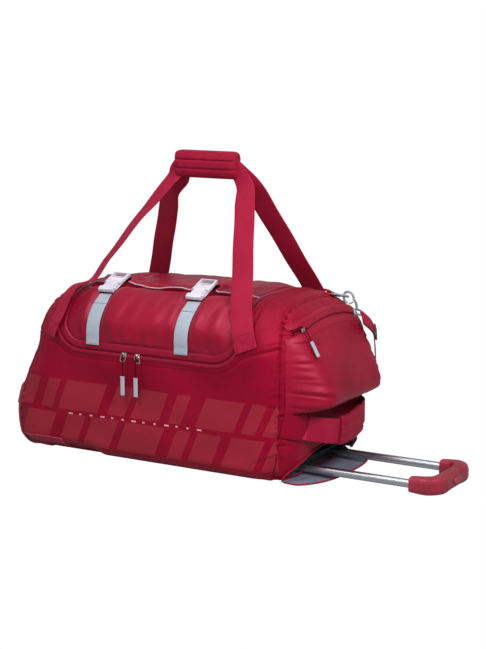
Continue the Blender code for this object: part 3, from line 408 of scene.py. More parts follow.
def add_print(shader, colour, roughness):
    """Two rows of leaning bars low on the front, with a dashed line between them."""
    x, y, z = (shader.axis(i) for i in range(3))
    times, between = shader.times, shader.between
    lean = shader.math("SUBTRACT", x, times(z, 0.42))
    place = shader.span(lean, PRINT_LEFT, 0.26)
    upper = shader.steps(place, bar_stops(UPPER_BARS))
    lower = shader.steps(place, bar_stops(LOWER_BARS))
    mask = shader.math("MAXIMUM", times(upper, between(z, 0.096, 0.156)),
                       times(lower, between(z, 0.026, 0.086)))
    front = times(shader.math("LESS_THAN", y, -0.135), between(x, -0.372, 0.2535))
    mask = times(mask, front)
    mask = times(mask, shader.span(shader.noise(900.0, 1.0), 0.25, 0.6, 0.75, 1.0))
    colour = shader.mix(times(mask, 0.62), colour, srgb(152, 48, 58))
    roughness = shader.plus(roughness, times(mask, 0.10))
    stops = [(0.0, 0.0)]
    for i in range(13):                     # every third dash is longer
        stops += [((i + 0.18) / 13, 1.0), ((i + (0.40 if i % 3 else 0.58)) / 13, 0.0)]
    dash = shader.steps(shader.span(x, -0.225, 0.105), stops)
    line = shader.math("SUBTRACT", z, times(x, 0.012))
    dash = times(times(dash, between(line, 0.0893, 0.0925)), front)
    return shader.mix(times(dash, 0.85), colour, srgb(226, 170, 172)), roughness


def nylon(name, base, dark, rough=0.46, sheen=0.04, weave=0.0011, light=None,
          tint=(1.0, 0.10, 0.22), printed=False):
    shader = Shader(name)
    base = srgb(*base)
    light = srgb(*light) if light else tuple(min(1, c * 1.7) for c in base[:3]) + (1,)
    broad = shader.noise(7.0, 3.0, 0.55)
    fine = shader.noise(420.0, 2.0, 0.6)
    colour = shader.mix(shader.span(broad, 0.3, 0.72), srgb(*dark), base)
    colour = shader.mix(shader.times(shader.span(fine, 0.3, 0.8), 0.22), colour, light)
    wave_x, wave_z, wave_y = (shader.wave(weave, axis) for axis in "XZY")
    threads = shader.times(shader.plus(shader.plus(wave_x, wave_z), wave_y), 0.33)
    roughness = shader.span(fine, 0.2, 0.8, rough - 0.05, rough + 0.08)
    height = shader.plus(shader.times(threads, 0.6), shader.times(fine, 0.6))
    if printed:
        colour, roughness = add_print(shader, colour, roughness)
    slack = shader.bump(shader.noise(60.0, 4.0, 0.6), 0.22, 0.0012)
    return shader.finish({
        "Base Color": colour, "Roughness": roughness, "Sheen Weight": sheen,
        "Sheen Roughness": 0.35, "Sheen Tint": (1.0, 0.30, 0.42, 1),
        "Specular IOR Level": 0.55, "Specular Tint": (*tint, 1),
        "Normal": shader.bump(height, 0.30, 0.0004, slack)})


def webbing(name, base, dark, light, rib=0.0021, rough=0.62, sheen=0.077,
            tint=(1.0, 0.2, 0.36)):
    """Woven tape: ribs run across, threads along. UV is in metres, U along, V across."""
    shader = Shader(name)
    uv = shader.add("UVMap", uv_map="weave").outputs["UV"]
    ribs = shader.wave(rib, "X", uv)
    thread = shader.wave(rib * 0.55, "Y", uv)
    diagonal = shader.wave(rib * 0.8, "DIAGONAL", uv)
    fine = shader.noise(700.0, 2.0, 0.6)
    broad = shader.noise(16.0)
    cross = shader.plus(shader.times(thread, 0.3), shader.times(diagonal, 0.15))
    weave = shader.plus(shader.times(ribs, 0.55), cross)
    dark = srgb(*dark)
    colour = shader.mix(shader.span(weave, 0.15, 0.85), dark, srgb(*base))
    colour = shader.mix(shader.times(shader.span(fine, 0.35, 0.75), 0.35), colour, srgb(*light))
    colour = shader.mix(shader.span(broad, 0.35, 0.75, 0.0, 0.35), colour, dark)
    return shader.finish({
        "Base Color": colour,
        "Roughness": shader.span(fine, 0.2, 0.8, rough - 0.06, rough + 0.10),
        "Sheen Weight": sheen, "Sheen Roughness": 0.4, "Sheen Tint": (*tint, 1),
        "Specular IOR Level": 0.35, "Specular Tint": (*tint, 1),
        "Normal": shader.bump(weave, 0.55, 0.0006, shader.bump(fine, 0.25, 0.0003))})


def moulded(name, base, dark, rough=0.38, grain=900.0, strength=0.25, spec=0.5,
            transmission=0.0, subsurface=0.0, wear=None, tint=(1, 1, 1)):
    """Plastic or rubber; `wear` is the colour of its rubbed edges."""
    shader = Shader(name)
    grains, broad = shader.noise(grain, 2.0, 0.6), shader.noise(24.0, 3.0, 0.55)
    colour = shader.mix(shader.span(broad, 0.3, 0.75), srgb(*dark), srgb(*base))
    if wear:
        edges = shader.add("NewGeometry").outputs["Pointiness"]
        colour = shader.mix(shader.span(edges, 0.52, 0.60, 0.0, 0.6), colour, srgb(*wear))
    inputs = {
        "Base Color": colour,
        "Roughness": shader.span(shader.noise(70.0, 3.0), 0.3, 0.75, rough - 0.06, rough + 0.10),
        "Specular IOR Level": spec, "Specular Tint": (*tint, 1)}
    if transmission:
        inputs.update({"Transmission Weight": transmission, "IOR": 1.45})
    if subsurface:
        inputs.update({"Subsurface Weight": subsurface, "Subsurface Scale": 0.6,
                       "Subsurface Radius": (0.004, 0.003, 0.003)})
    sink = shader.bump(shader.noise(45.0), 0.15, 0.0006)
    return shader.finish({**inputs, "Normal": shader.bump(grains, strength, 0.0002, sink)})


def metal(name, base, rough, brush=None, dark=None, anisotropy=0.0):
    """`brush` is the noise scale along each axis of a brushed finish."""
    shader = Shader(name)
    vector = None
    if brush:
        vector = shader.add("Mapping", {"Vector": shader.coord, "Scale": brush}).outputs["Vector"]
    grain = shader.noise(1.0 if brush else 300.0, 3.0, 0.6, vector)
    base = srgb(*base)
    dark = srgb(*dark) if dark else tuple(c * 0.8 for c in base[:3]) + (1,)
    inputs = {"Base Color": shader.mix(shader.span(grain, 0.3, 0.7), dark, base),
              "Metallic": 1.0,
              "Roughness": shader.span(grain, 0.25, 0.75, rough - 0.07, rough + 0.09),
              "Normal": shader.bump(grain, 0.12, 0.0002)}
    if anisotropy:
        inputs["Anisotropic"] = anisotropy
    return shader.finish(inputs)


WHITE = (1, 1, 1)
MATERIALS = {
    "nylon": nylon("nylon_print", (140, 8, 38), (108, 2, 26), printed=True),
    "nylon_lid": nylon("nylon_padded", (144, 9, 40), (110, 2, 27), rough=0.37,
                       tint=(1.0, 0.36, 0.50)),
    "nylon_end": nylon("nylon_pocket", (146, 10, 42), (114, 3, 29), rough=0.42,
                       tint=(1.0, 0.26, 0.40)),
    "nylon_flat": nylon("nylon_band", (138, 7, 37), (108, 2, 26), rough=0.5),
    "lining": nylon("lining_cloth", (122, 122, 140), (92, 92, 110), rough=0.5, sheen=0.016,
                    weave=0.0015, light=(165, 165, 180), tint=(0.8, 0.8, 0.9)),
    "binding": webbing("binding_tape", (150, 14, 46), (108, 4, 28), (180, 50, 80), rib=0.0012,
                       rough=0.5),
    "web": webbing("crimson_webbing", (170, 24, 58), (124, 8, 34), (192, 60, 90)),
    "web_wrap": webbing("wrap_cloth", (158, 18, 50), (116, 5, 30), (182, 52, 80), rib=0.0016),
    "grey_web": webbing("grey_webbing", (168, 178, 190), (132, 142, 156), (205, 212, 222),
                        rib=0.0015, rough=0.55, sheen=0.033, tint=WHITE),
    "reflect": webbing("reflective_piping", (205, 186, 196), (160, 130, 145), (240, 232, 238),
                       rib=0.0011, rough=0.35, sheen=0.0, tint=WHITE),
    # zip tape cloth; on the end seams' piping its dark colour is painted shade of the seam groove
    "tape": webbing("zip_tape_cloth", (126, 6, 34), (88, 2, 22), (150, 26, 54), rib=0.0010,
                    rough=0.6),
    "coil": moulded("zip_coil", (92, 4, 26), (60, 2, 16), rough=0.45, strength=0.1, spec=0.2,
                    tint=(1.0, 0.2, 0.3)),
    "thread": moulded("sewing_thread", (128, 12, 40), (96, 4, 26), rough=0.6, strength=0.3,
                      spec=0.2, tint=(1.0, 0.3, 0.4)),
    "thread_grey": moulded("sewing_thread_grey", (120, 128, 140), (92, 98, 110), rough=0.55,
                           strength=0.3),
    "buckle": moulded("milky_acetal", (232, 226, 234), (196, 192, 206), rough=0.28,
                      strength=0.12, transmission=0.10, subsurface=0.15),
    "hardware": moulded("grey_hardware", (132, 136, 144), (96, 100, 110), rough=0.42,
                        strength=0.3, wear=(168, 172, 180)),
    "pulltab": moulded("grey_pull_tab", (152, 156, 168), (124, 128, 142), rough=0.45,
                       strength=0.3, wear=(196, 198, 208)),
    "cord": webbing("pull_cord", (120, 8, 36), (80, 2, 22), (160, 40, 66), rib=0.0012),
    "slider": metal("nickel_slider", (205, 203, 198), rough=0.22),
    "steel": metal("zinc_steel", (170, 172, 178), rough=0.32),
    "alu": metal("satin_tube", (196, 200, 206), rough=0.30, brush=(4.0, 900.0, 900.0),
                 dark=(165, 169, 176), anisotropy=0.4),
    "grip": moulded("crimson_plastic", (140, 30, 46), (112, 16, 32), rough=0.36, grain=1300.0,
                    strength=0.22, wear=(172, 70, 84), tint=(1.0, 0.35, 0.45)),
    "button": moulded("button_plastic", (128, 22, 38), (96, 10, 26), rough=0.30, grain=1300.0,
                      strength=0.15, wear=(176, 82, 94), tint=(1.0, 0.35, 0.45)),
    "guard": moulded("guard_plastic", (156, 22, 52), (130, 10, 38), rough=0.34, grain=1000.0,
                     strength=0.2, wear=(190, 70, 96), tint=(1.0, 0.25, 0.38)),
    "rubber": moulded("wheel_rubber", (34, 34, 37), (22, 22, 24), rough=0.62, grain=700.0,
                      strength=0.5, spec=0.35, wear=(70, 70, 74)),
    "black": moulded("black_nylon_moulding", (38, 38, 42), (24, 24, 27), rough=0.48,
                     strength=0.3, wear=(72, 72, 78)),
    "board": moulded("board_sheet", (48, 48, 54), (32, 32, 36), rough=0.6, grain=300.0,
                     strength=0.3),
}


# ---------------------------------------------------------------- mesh helpers
def make(name, verts, faces, material, body=None, uv=None, inner=None, face_slots=None,
         replaces=None, slot=None, sharp=None):
    """A smooth mesh object; `inner` is its second material, `body` the frame body it rides."""
    mesh = bpy.data.meshes.new(name)
    mesh.from_pydata(np.asarray(verts, float).reshape(-1, 3).tolist(), [],
                     [list(map(int, face)) for face in faces])
    mesh.materials.append(MATERIALS[material])
    if inner:
        mesh.materials.append(MATERIALS[inner])
    if uv is not None:
        layer = mesh.uv_layers.new(name="weave")
        corners = np.empty(len(mesh.loops), np.int32)
        mesh.loops.foreach_get("vertex_index", corners)
        layer.data.foreach_set("uv", np.asarray(uv, np.float32).reshape(-1, 2)[corners].ravel())
    if face_slots is not None:
        mesh.polygons.foreach_set("material_index", np.asarray(face_slots, np.int32))
    mesh.polygons.foreach_set("use_smooth", np.ones(len(mesh.polygons), bool))
    mesh.update()
    if sharp:
        mesh.set_sharp_from_angle(angle=math.radians(sharp))
    ob = bpy.data.objects.new(name, mesh)
    bpy.context.scene.collection.objects.link(ob)
    if body:
        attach(ob, body)
    if replaces:
        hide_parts(replaces)
    return ob


def quads(rows, cols, close_rows=False, close_cols=False):
    """Faces of a grid of vertices."""
    i, j = np.meshgrid(np.arange(rows if close_rows else rows - 1),
                       np.arange(cols if close_cols else cols - 1), indexing="ij")
    next_i, next_j = (i + 1) % rows, (j + 1) % cols
    corners = [i * cols + j, i * cols + next_j, next_i * cols + next_j, next_i * cols + j]
    return np.stack(corners, -1).reshape(-1, 4)


def ring_faces(count, ring, closed=False):
    """Faces of a row of rings, capped at both ends unless the row closes on itself."""
    faces = quads(count, ring, closed, True).tolist()
    if not closed:
        faces += [list(range(ring))[::-1], list(range((count - 1) * ring, count * ring))]
    return faces


def normals_of(grid, close_cols=False):
    across = np.gradient(grid, axis=1)
    if close_cols:
        across = np.roll(grid, -1, 1) - np.roll(grid, 1, 1)
    normal = np.cross(np.gradient(grid, axis=0), across)
    return normal / (np.linalg.norm(normal, axis=-1, keepdims=True) + 1e-12)


def outward_normals(grid, centre):
    """Normals of a sheet, all turned together if they mostly point at the centre."""
    normals = normals_of(grid)
    return -normals if (normals * (grid - np.array(centre))).sum() < 0 else normals


def metric_uv(grid):
    rows, cols = grid.shape[:2]
    down, across = (np.linalg.norm(np.diff(grid, axis=i), axis=-1) for i in (0, 1))
    down = np.concatenate([np.zeros((1, cols)), np.cumsum(down, 0)])
    across = np.concatenate([np.zeros((rows, 1)), np.cumsum(across, 1)], 1)
    return np.stack(np.broadcast_arrays(down.mean(1, keepdims=True),
                                        across.mean(0, keepdims=True)), -1)


def turn_out(ob):
    """Makes a closed mesh's faces point outwards."""
    work = bmesh.new()
    work.from_mesh(ob.data)
    if work.calc_volume(signed=True) < 0:
        bmesh.ops.reverse_faces(work, faces=work.faces[:])
        work.to_mesh(ob.data)
    work.free()


def sheet(name, grid, thick, material, body="bag", centre=(0, 0, 0.15), inner=None, **options):
    """A thick sheet whose outer face is the grid, the side away from `centre`."""
    rows, cols = grid.shape[:2]
    normals = outward_normals(grid, centre)
    winding = np.cross(grid[1:, :-1] - grid[:-1, :-1], grid[:-1, 1:] - grid[:-1, :-1])
    verts = np.concatenate([grid.reshape(-1, 3), (grid - normals * thick).reshape(-1, 3)])
    size = rows * cols
    outer_faces = quads(rows, cols)
    inner_faces = outer_faces + size
    last = (rows - 1) * cols
    edges = ([(i, i + 1) for i in range(cols - 1)]
             + [(i * cols + cols - 1, (i + 1) * cols + cols - 1) for i in range(rows - 1)]
             + [(last + i + 1, last + i) for i in reversed(range(cols - 1))]
             + [((i + 1) * cols, i * cols) for i in reversed(range(rows - 1))])
    rim = [(end, start, size + start, size + end) for start, end in edges]
    if (winding * normals[:-1, :-1]).sum() > 0:
        inner_faces = inner_faces[:, ::-1]
    else:
        outer_faces = outer_faces[:, ::-1]
        rim = [face[::-1] for face in rim]
    face_slots = ([0] * len(outer_faces) + [1 if inner else 0] * len(inner_faces)
                  + [0] * len(rim))
    uv = np.concatenate([metric_uv(grid).reshape(-1, 2)] * 2)
    turn_out(make(name, verts, [*outer_faces, *inner_faces, *rim], material, body, uv=uv,
                  inner=inner, face_slots=face_slots, **options))


def spline(points, count, closed=False):
    """Catmull-Rom through the points, evenly spaced by length."""
    points = np.asarray(points, float)
    if closed:
        points = np.concatenate([points[-1:], points, points[:2]])
    else:
        points = np.concatenate([2 * points[:1] - points[1:2], points,
                                 2 * points[-1:] - points[-2:-1]])
    curve = []
    for i in range(1, len(points) - 2):
        k = np.linspace(0, 1, 24, endpoint=False)[:, None]
        p0, p1, p2, p3 = points[i - 1:i + 3]
        curve.append(0.5 * (2 * p1 + (p2 - p0) * k + (2 * p0 - 5 * p1 + 4 * p2 - p3) * k ** 2
                            + (3 * p1 - p0 - 3 * p2 + p3) * k ** 3))
    curve = np.concatenate(curve + [points[-2][None]])
    known = lengths(curve)
    even = columns(np.linspace(0, known[-1], count + (1 if closed else 0)), known, curve)
    return even[:-1] if closed else even


def frames(curve, across, closed=False):
    """Tangent, across and out along a curve; `across` is the wanted width direction."""
    if closed:
        tangent = np.roll(curve, -1, 0) - np.roll(curve, 1, 0)
    else:
        tangent = np.gradient(curve, axis=0)
    tangent = unit(tangent)
    across = np.broadcast_to(np.asarray(across, float), curve.shape).copy()
    across = across - tangent * (across * tangent).sum(1, keepdims=True)
    across /= np.linalg.norm(across, axis=1, keepdims=True) + 1e-12
    return tangent, across, np.cross(tangent, across)


SELVEDGE = [(-1, 0.25), (-0.985, 0.8), (-0.94, 1), (-0.5, 1), (0, 1), (0.5, 1), (0.94, 1),
            (0.985, 0.8), (1, 0.25)]        # share of half width, share of half thickness


def tape(name, curve, across, half_width, half_thick, material, body="bag", **options):
    """Flat webbing with rounded selvedges; its half width may vary along it."""
    curve = np.asarray(curve, float)
    _, across, out = frames(curve, across)
    half_width = np.broadcast_to(np.asarray(half_width, float), len(curve))
    profile = SELVEDGE + [(wide, -thick) for wide, thick in SELVEDGE[::-1]]
    grid = np.stack([curve + across * (wide * half_width)[:, None] + out * (thick * half_thick)
                     for wide, thick in profile], 1)
    ring = len(profile)
    uv = np.stack([np.repeat(lengths(curve)[:, None], ring, 1),
                   np.array([wide for wide, _ in profile])[None] * half_width[:, None]], -1)
    ob = make(name, grid, ring_faces(len(curve), ring), material, body, uv=uv, **options)
    turn_out(ob)
    return ob


def tube(name, curve, radius, material, body="bag", closed=False, seg=8, side=(0, 0, 1),
         **options):
    curve = np.asarray(curve, float)
    side = np.asarray(side, float)
    chord = curve[-1] - curve[0]
    if not closed and abs(chord @ side) >= 0.95 * np.linalg.norm(chord):
        side = (1, 0, 0)
    _, across, out = frames(curve, side, closed)
    angle = 2 * pi * np.arange(seg) / seg
    grid = (curve[:, None] + across[:, None] * (np.cos(angle) * radius)[None, :, None]
            + out[:, None] * (np.sin(angle) * radius)[None, :, None])
    uv = np.stack([np.repeat(lengths(curve)[:, None], seg, 1),
                   np.repeat((angle * 0.002)[None], len(curve), 0)], -1)
    turn_out(make(name, grid, ring_faces(len(curve), seg, closed), material, body, uv=uv,
                  **options))


def padded_sleeve(name, curve, across, out, material, fill, steps, square, half_width,
                  half_thick, taper, grooves, groove_width, groove_depth, **options):
    """Padding round a strap: `fill` shrinks it along its length, grooves are sewn rows."""
    angle = 2 * pi * (np.arange(steps) + 0.5) / steps
    wide, thick = (np.sign(q) * np.abs(q) ** square for q in (np.cos(angle), np.sin(angle)))
    wide = half_width * wide
    sewn = sum(bell(wide - groove, groove_width) for groove in grooves) * (np.abs(thick) > 0.3)
    thick = thick * (1 - groove_depth * sewn)
    spread = (1 - taper) + taper * fill
    grid = (curve[:, None] + across[:, None] * (wide[None] * spread[:, None])[..., None]
            + out[:, None] * (thick[None] * (half_thick * fill)[:, None])[..., None])
    turn_out(make(name, grid, ring_faces(*grid.shape[:2]), material, "bag",
                  uv=metric_uv(grid), sharp=50, **options))


def bead(half_length, half_width, half_height, seg=6, rings=3):
    """A long bead as vertices (along, across, up) and faces."""
    verts, faces = [(-half_length, 0, 0)], []
    for i in range(rings):
        bow = pi * (i + 1) / (rings + 1)
        for j in range(seg):
            angle = 2 * pi * j / seg
            verts.append((-half_length * math.cos(bow),
                          half_width * math.sin(bow) * math.cos(angle),
                          half_height * math.sin(bow) * math.sin(angle)))
    verts.append((half_length, 0, 0))
    last = 1 + (rings - 1) * seg
    for j in range(seg):
        k = (j + 1) % seg
        faces.append([0, 1 + k, 1 + j])
        for i in range(rings - 1):
            start = 1 + i * seg
            faces.append([start + j, start + k, start + seg + k, start + seg + j])
        faces.append([last + j, last + k, len(verts) - 1])
    return verts, faces


def scatter(name, places, shape, material, body):
    """Copies of a shape at places (centres, tangents, across, up), in one mesh."""
    centres, *axes = places
    verts, faces = np.asarray(shape[0], float), shape[1]
    copies = centres[:, None] + sum(axis[:, None] * verts[None, :, i:i + 1]
                                    for i, axis in enumerate(axes))
    count = len(verts)
    make(name, copies, [[v + i * count for v in face] for i in range(len(centres))
                        for face in faces], material, body)


THREAD_RADIUS = 0.00042
STITCHES = {}               # (body, colour, length): runs of places for scatter


def stitch(body, curve, normals, pitch=0.0042, length=0.0027, colour="thread"):
    """Queues a run of stitches along a curve."""
    curve = np.asarray(curve, float)
    normals = np.broadcast_to(np.asarray(normals, float), curve.shape)
    known = lengths(curve)
    at = np.arange(pitch / 2, known[-1], pitch)
    centres, ahead, behind = (columns(at + d, known, curve) for d in (0, 0.0005, -0.0005))
    up = columns(at, known, normals)
    tangent = ahead - behind
    tangent /= np.linalg.norm(tangent, axis=1, keepdims=True) + 1e-12
    up = up - tangent * (up * tangent).sum(1, keepdims=True)
    up /= np.linalg.norm(up, axis=1, keepdims=True) + 1e-12
    run = (centres, tangent, np.cross(up, tangent), up)
    STITCHES.setdefault((body, colour, length), []).append(run)


def sew_stitches():
    for (body, colour, length), runs in STITCHES.items():
        places = [np.concatenate(part) for part in zip(*runs)]
        scatter("stitches_%s_%s_%d" % (body, colour, round(length * 1e5)), places,
                bead(length / 2, THREAD_RADIUS, THREAD_RADIUS * 0.8, 5, 2), colour, body)


def coil_places(curve, normals, pitch):
    known = lengths(curve)
    at = np.arange(0.001, known[-1], pitch)
    centres, up = columns(at, known, curve), columns(at, known, normals)
    tangent = unit(np.gradient(centres, axis=0))
    return at, known, [centres, tangent, unit(np.cross(up, tangent)), up]


def add_bevel(ob, width, degrees):
    bevel = ob.modifiers.new("edge", "BEVEL")
    bevel.width, bevel.segments = width, 2
    bevel.limit_method, bevel.angle_limit = "ANGLE", math.radians(degrees)


def cad(node, material, bevel=None):
    """A CAD piece that keeps its shape and gets a material."""
    ob = NODES[node]
    ob.data.materials.clear()
    ob.data.materials.append(MATERIALS[material])
    if bevel:
        add_bevel(ob, bevel, 35)


# ---------------------------------------------------------------- body fabric
def creases(along, across, seed):
    """Short sharp folds on both sides of a seam; `across` is the distance from it."""
    start, end, spacing, amount = 0.03, 0.40, 0.0235, 0.0026
    total = np.zeros_like(along)
    count = int((end - start) / spacing)
    for i in range(count):
        for side in (-1, 1):
            shift = noise_at(i * 3.71, seed + side * 1.3, 0.5)
            lean = noise_at(i * 2.17 + 9.1, seed - side * 2.3, 1.5)
            centre = start + (i + 0.5 + 1.2 * shift) * (end - start) / count
            reach = 0.010 + 0.052 * abs(lean)
            away = np.maximum(across * side, 0)
            depth = amount * max(0.0, 1.9 * abs(shift + 0.25 * lean) - 0.10)
            depth = depth * (across * side > -0.002) * np.exp(-(away / reach) ** 2)
            off = along - centre - (0.55 * lean + 0.16 * side) * away
            total += depth * (-1.05 * bell(off, 0.0024 + 0.05 * away)
                              + 0.75 * bell(off - 0.0062, 0.0060 + 0.05 * away))
    return total


def gathers(along, across, seed):
    """Fine wrinkles that start at a seam."""
    ridges = 1 - np.abs(noise_at(along * 46, across * 9 + seed, seed)) * 3.0
    fine = noise_at(along * 90, across * 14 - seed, seed * 2)
    patches = ease(noise_at(along * 14, seed * 3), -0.25, 0.35)
    return (0.0012 * patches * (np.clip(ridges, -0.2, 1) * 0.8 + fine * 0.5)
            * np.exp(-np.abs(across) / 0.017))


def yoke_z(x):
    """Height of the seam from the lid zip's corners to the end panels."""
    right = 0.2377 + 0.0234 * np.clip((x - 0.1789) / 0.0749, 0, 1.6) ** 0.8
    left = 0.2259 + 0.0094 * np.clip((-0.243 - x) / 0.030, 0, 2.2)
    return np.where(x > 0, right, left)


def skin_relief(share, turn, points, arc):
    """How far the cloth stands off the CAD surface."""
    x, y, z = np.moveaxis(points, -1, 0)
    front = ease(-y, 0.10, 0.16)
    sides = front + ease(y, 0.10, 0.16)
    margin = np.where(arc > LID_ARC - 0.01, 0.08, lid_distance(x, arc))
    relief = 0.0016 * rumple(points, (7, 7, 9), 3.1) + 0.0009 * rumple(points, (20, 20, 16), 8.7)
    relief *= ease(z, 0.0, 0.05) * ease(margin, 0.008, 0.03)
    # end seams with their gathers
    over = np.abs(arc_at_turn(np.where(turn < 0.5, turn, 1 - turn)))
    along = np.where(z < SHOULDER_Z, z, SHOULDER_Z + over)
    for seam, seed in ((RIGHT_SEAM, 11.0), (LEFT_SEAM, 23.0)):
        across = (share - seam) * 0.64
        relief += (gathers(along * np.where(y < 0, 1.0, 1.07), across, seed)
                   * ease(z, 0.02, 0.06))
        relief += creases(along + np.where(y < 0, 0.0, 0.011), across, seed)
        relief += 0.0016 * bell(np.abs(across) - 0.009, 0.006) - 0.0034 * bell(across, 0.0028)
    # yoke seams beside the lid
    above = z - yoke_z(x)
    beside = sides * (
        ease(x, 0.176, 0.184) * (1 - ease(share, RIGHT_SEAM - 0.002, RIGHT_SEAM + 0.004))
        + ease(-x, 0.245, 0.252) * ease(share, LEFT_SEAM - 0.004, LEFT_SEAM + 0.002))
    relief += beside * (0.0016 * bell(above - 0.008, 0.007) - 0.0024 * bell(above, 0.0032))
    # padded roll round the lid's zip, then the row of stitches that holds it
    roll = 0.0012 * bell(margin - 0.0165, 0.0040) - 0.0016 * bell(margin - 0.0228, 0.0030)
    relief += roll * (arc < LID_ARC - 0.012)
    # broad drapes on the long sides
    drape = (0.0022 * np.sin(x * 21 + z * 16 + 1.0) * np.sin(z * 30 + 0.5)
             + 0.0014 * np.sin(x * 38 - z * 30))
    relief += sides * drape * ease(z, 0.02, 0.07) * (1 - ease(z, 0.17, 0.21))
    # slack at the lower front corner of the wheel end
    relief += (0.0020 * front * bell(x + 0.335, 0.05) * rumple(points, (26, 10, 44), 5.0)
               * ease(z, 0.01, 0.04))
    # drawn cloth on the crown beside the lid
    relief += (0.0016 * ease(z, 0.30, 0.33) * ease(margin, 0.012, 0.03)
               * rumple(points, (16, 60, 10), 1.7))
    return relief


LID_HOLE = 0.0064                               # margin of the hole under the lid
MOUTH_HALF, MOUTH_Z, MOUTH_HEIGHT = 0.1455, 0.0086, 0.050     # arched mouth, right end
WELL_IN, WELL_OUT, WELL_Z, WELL_X = 0.1025, 0.1535, 0.0888, -0.2848     # wheel boxes


def snap_lid(points, turn, arc):
    """Moves grid points near the hole under the lid onto its edge, in place."""
    x, old_arc = points[..., 0].copy(), arc.copy()
    over = lid_distance(x, old_arc) - LID_HOLE
    tiny = 1e-5
    slope_x = (lid_distance(x + tiny, old_arc) - lid_distance(x - tiny, old_arc)) / (2 * tiny)
    slope_arc = (lid_distance(x, old_arc + tiny) - lid_distance(x, old_arc - tiny)) / (2 * tiny)
    rear = LID_ARC + 0.0024
    at_edge = (np.abs(over) < 0.0024) & (old_arc < LID_ARC + 0.002) & (old_arc > -0.1)
    at_rear = (np.abs(old_arc - rear) < 0.0024) & (over < 0.003)
    new_x = np.where(at_rear & ~at_edge, x, x - slope_x * over)
    new_arc = np.where(at_rear, rear, old_arc - slope_arc * over)
    moved = at_edge | at_rear
    new_turn = turn_at_arc(new_arc)
    points[moved] = at_x(new_x[moved], new_turn[moved])
    turn[moved], arc[moved] = new_turn[moved], new_arc[moved]


def mouth_level(y, z):
    """1 on the mouth's arch, less inside it."""
    return (y / MOUTH_HALF) ** 2 + ((z - MOUTH_Z) / MOUTH_HEIGHT) ** 2


def snap_mouth(points, mask):
    """Moves points near the mouth's arch onto it, in place."""
    y, z = points[..., 1], points[..., 2]
    scale = np.sqrt(np.maximum(mouth_level(y, z), 1e-9))
    moved = mask & (np.abs(scale - 1) < 0.045) & (z > 0.009)
    y, z = y / scale, MOUTH_Z + (z - MOUTH_Z) / scale
    points[moved] = np.stack([end_x(y, z), y, z], -1)[moved]


def snap_wells(points):
    """Moves points near the wheel boxes' edges onto them, in place."""
    left = points[:, 0] < -0.27
    wide = np.abs(points[:, 1])
    for edge in (WELL_IN, WELL_OUT):
        near = left & (np.abs(wide - edge) < 0.0028) & (points[:, 2] < 0.0915)
        points[near, 1] = np.sign(points[near, 1]) * edge
        wide = np.abs(points[:, 1])
    beside = (wide > 0.099) & (wide < 0.157)
    near = left & (np.abs(points[:, 2] - WELL_Z) < 0.0028) & beside & (points[:, 0] < -0.34)
    points[near, 2] = WELL_Z
    near = (np.abs(points[:, 0] - WELL_X) < 0.0028) & beside & (points[:, 2] < 0.05)
    points[near, 0] = WELL_X


def corner_lift(points):
    """How far the floor rises at the lower corners of the wheel end."""
    x, y, z = np.moveaxis(points, -1, 0)
    return (0.0085 * ease(x, -0.42, -0.30) * (1 - ease(z, 0.012, 0.060))
            * ease(np.abs(y), 0.138, 0.160))


def skin_grid(climb):
    """The cloth round the bag: points, relief, normals, on-lid mask and faces."""
    turns = np.concatenate([climb / 2, 1 - climb[1:-1][::-1] / 2])
    crowd = np.linspace(0, 1, 40)
    corner = 0.118 * (0.35 * crowd + 0.65 * (1 - np.cos(crowd * pi / 2)))
    shares = np.concatenate([corner, np.linspace(0.118, 0.882, 170)[1:-1], 1 - corner[::-1]])
    share, turn = np.meshgrid(shares, turns, indexing="ij")
    points = body_point(share, turn)
    arc = np.where(turn < ARC_TURNS[0], -0.5,
                   np.where(turn > ARC_TURNS[-1], LID_ARC + 0.5, arc_at_turn(turn)))
    snap_lid(points, turn, arc)
    relief = skin_relief(share, turn, points, arc)
    normals = face_out(normals_of(points, True), points)
    on_lid = ((lid_distance(points[..., 0], arc) - LID_HOLE < 0.0002)
              & (arc < LID_ARC + 0.0026) & (arc > -0.1))
    snap_mouth(points, share > 0.88)
    return points, relief, normals, on_lid, quads(*turn.shape, False, True)


def end_grid(end, climb, floor_steps):
    """The panel at end 0 (left) or 1 (right), with the same parts as skin_grid."""
    row_y, row_z = section(float(end), climb[floor_steps:] / 2)
    half = climb[1:floor_steps + 1] / 0.2
    widths = np.concatenate([-half[::-1], [0], half])
    y = np.abs(row_y)[:, None] * widths[None]
    z = np.repeat(row_z[:, None], len(widths), 1)
    points = np.stack([hermite((LEFT_END, RIGHT_END)[end], z), y, z], -1)
    relief = (0.0012 * rumple(points, (10, 16, 14), 4.0 + end)
              * np.clip((1 - np.abs(widths))[None] * 6, 0, 1))
    if end == 0:
        relief = relief + 0.004 * np.clip(1 - (y / 0.10) ** 2, 0, 1) * bell(z - 0.19, 0.07)
    else:
        snap_mouth(points, np.ones(y.shape, bool))
    normals = np.broadcast_to([(-1.0, 1.0)[end], 0, 0], points.shape)
    return points, relief, normals, np.zeros(y.shape, bool), quads(*y.shape)


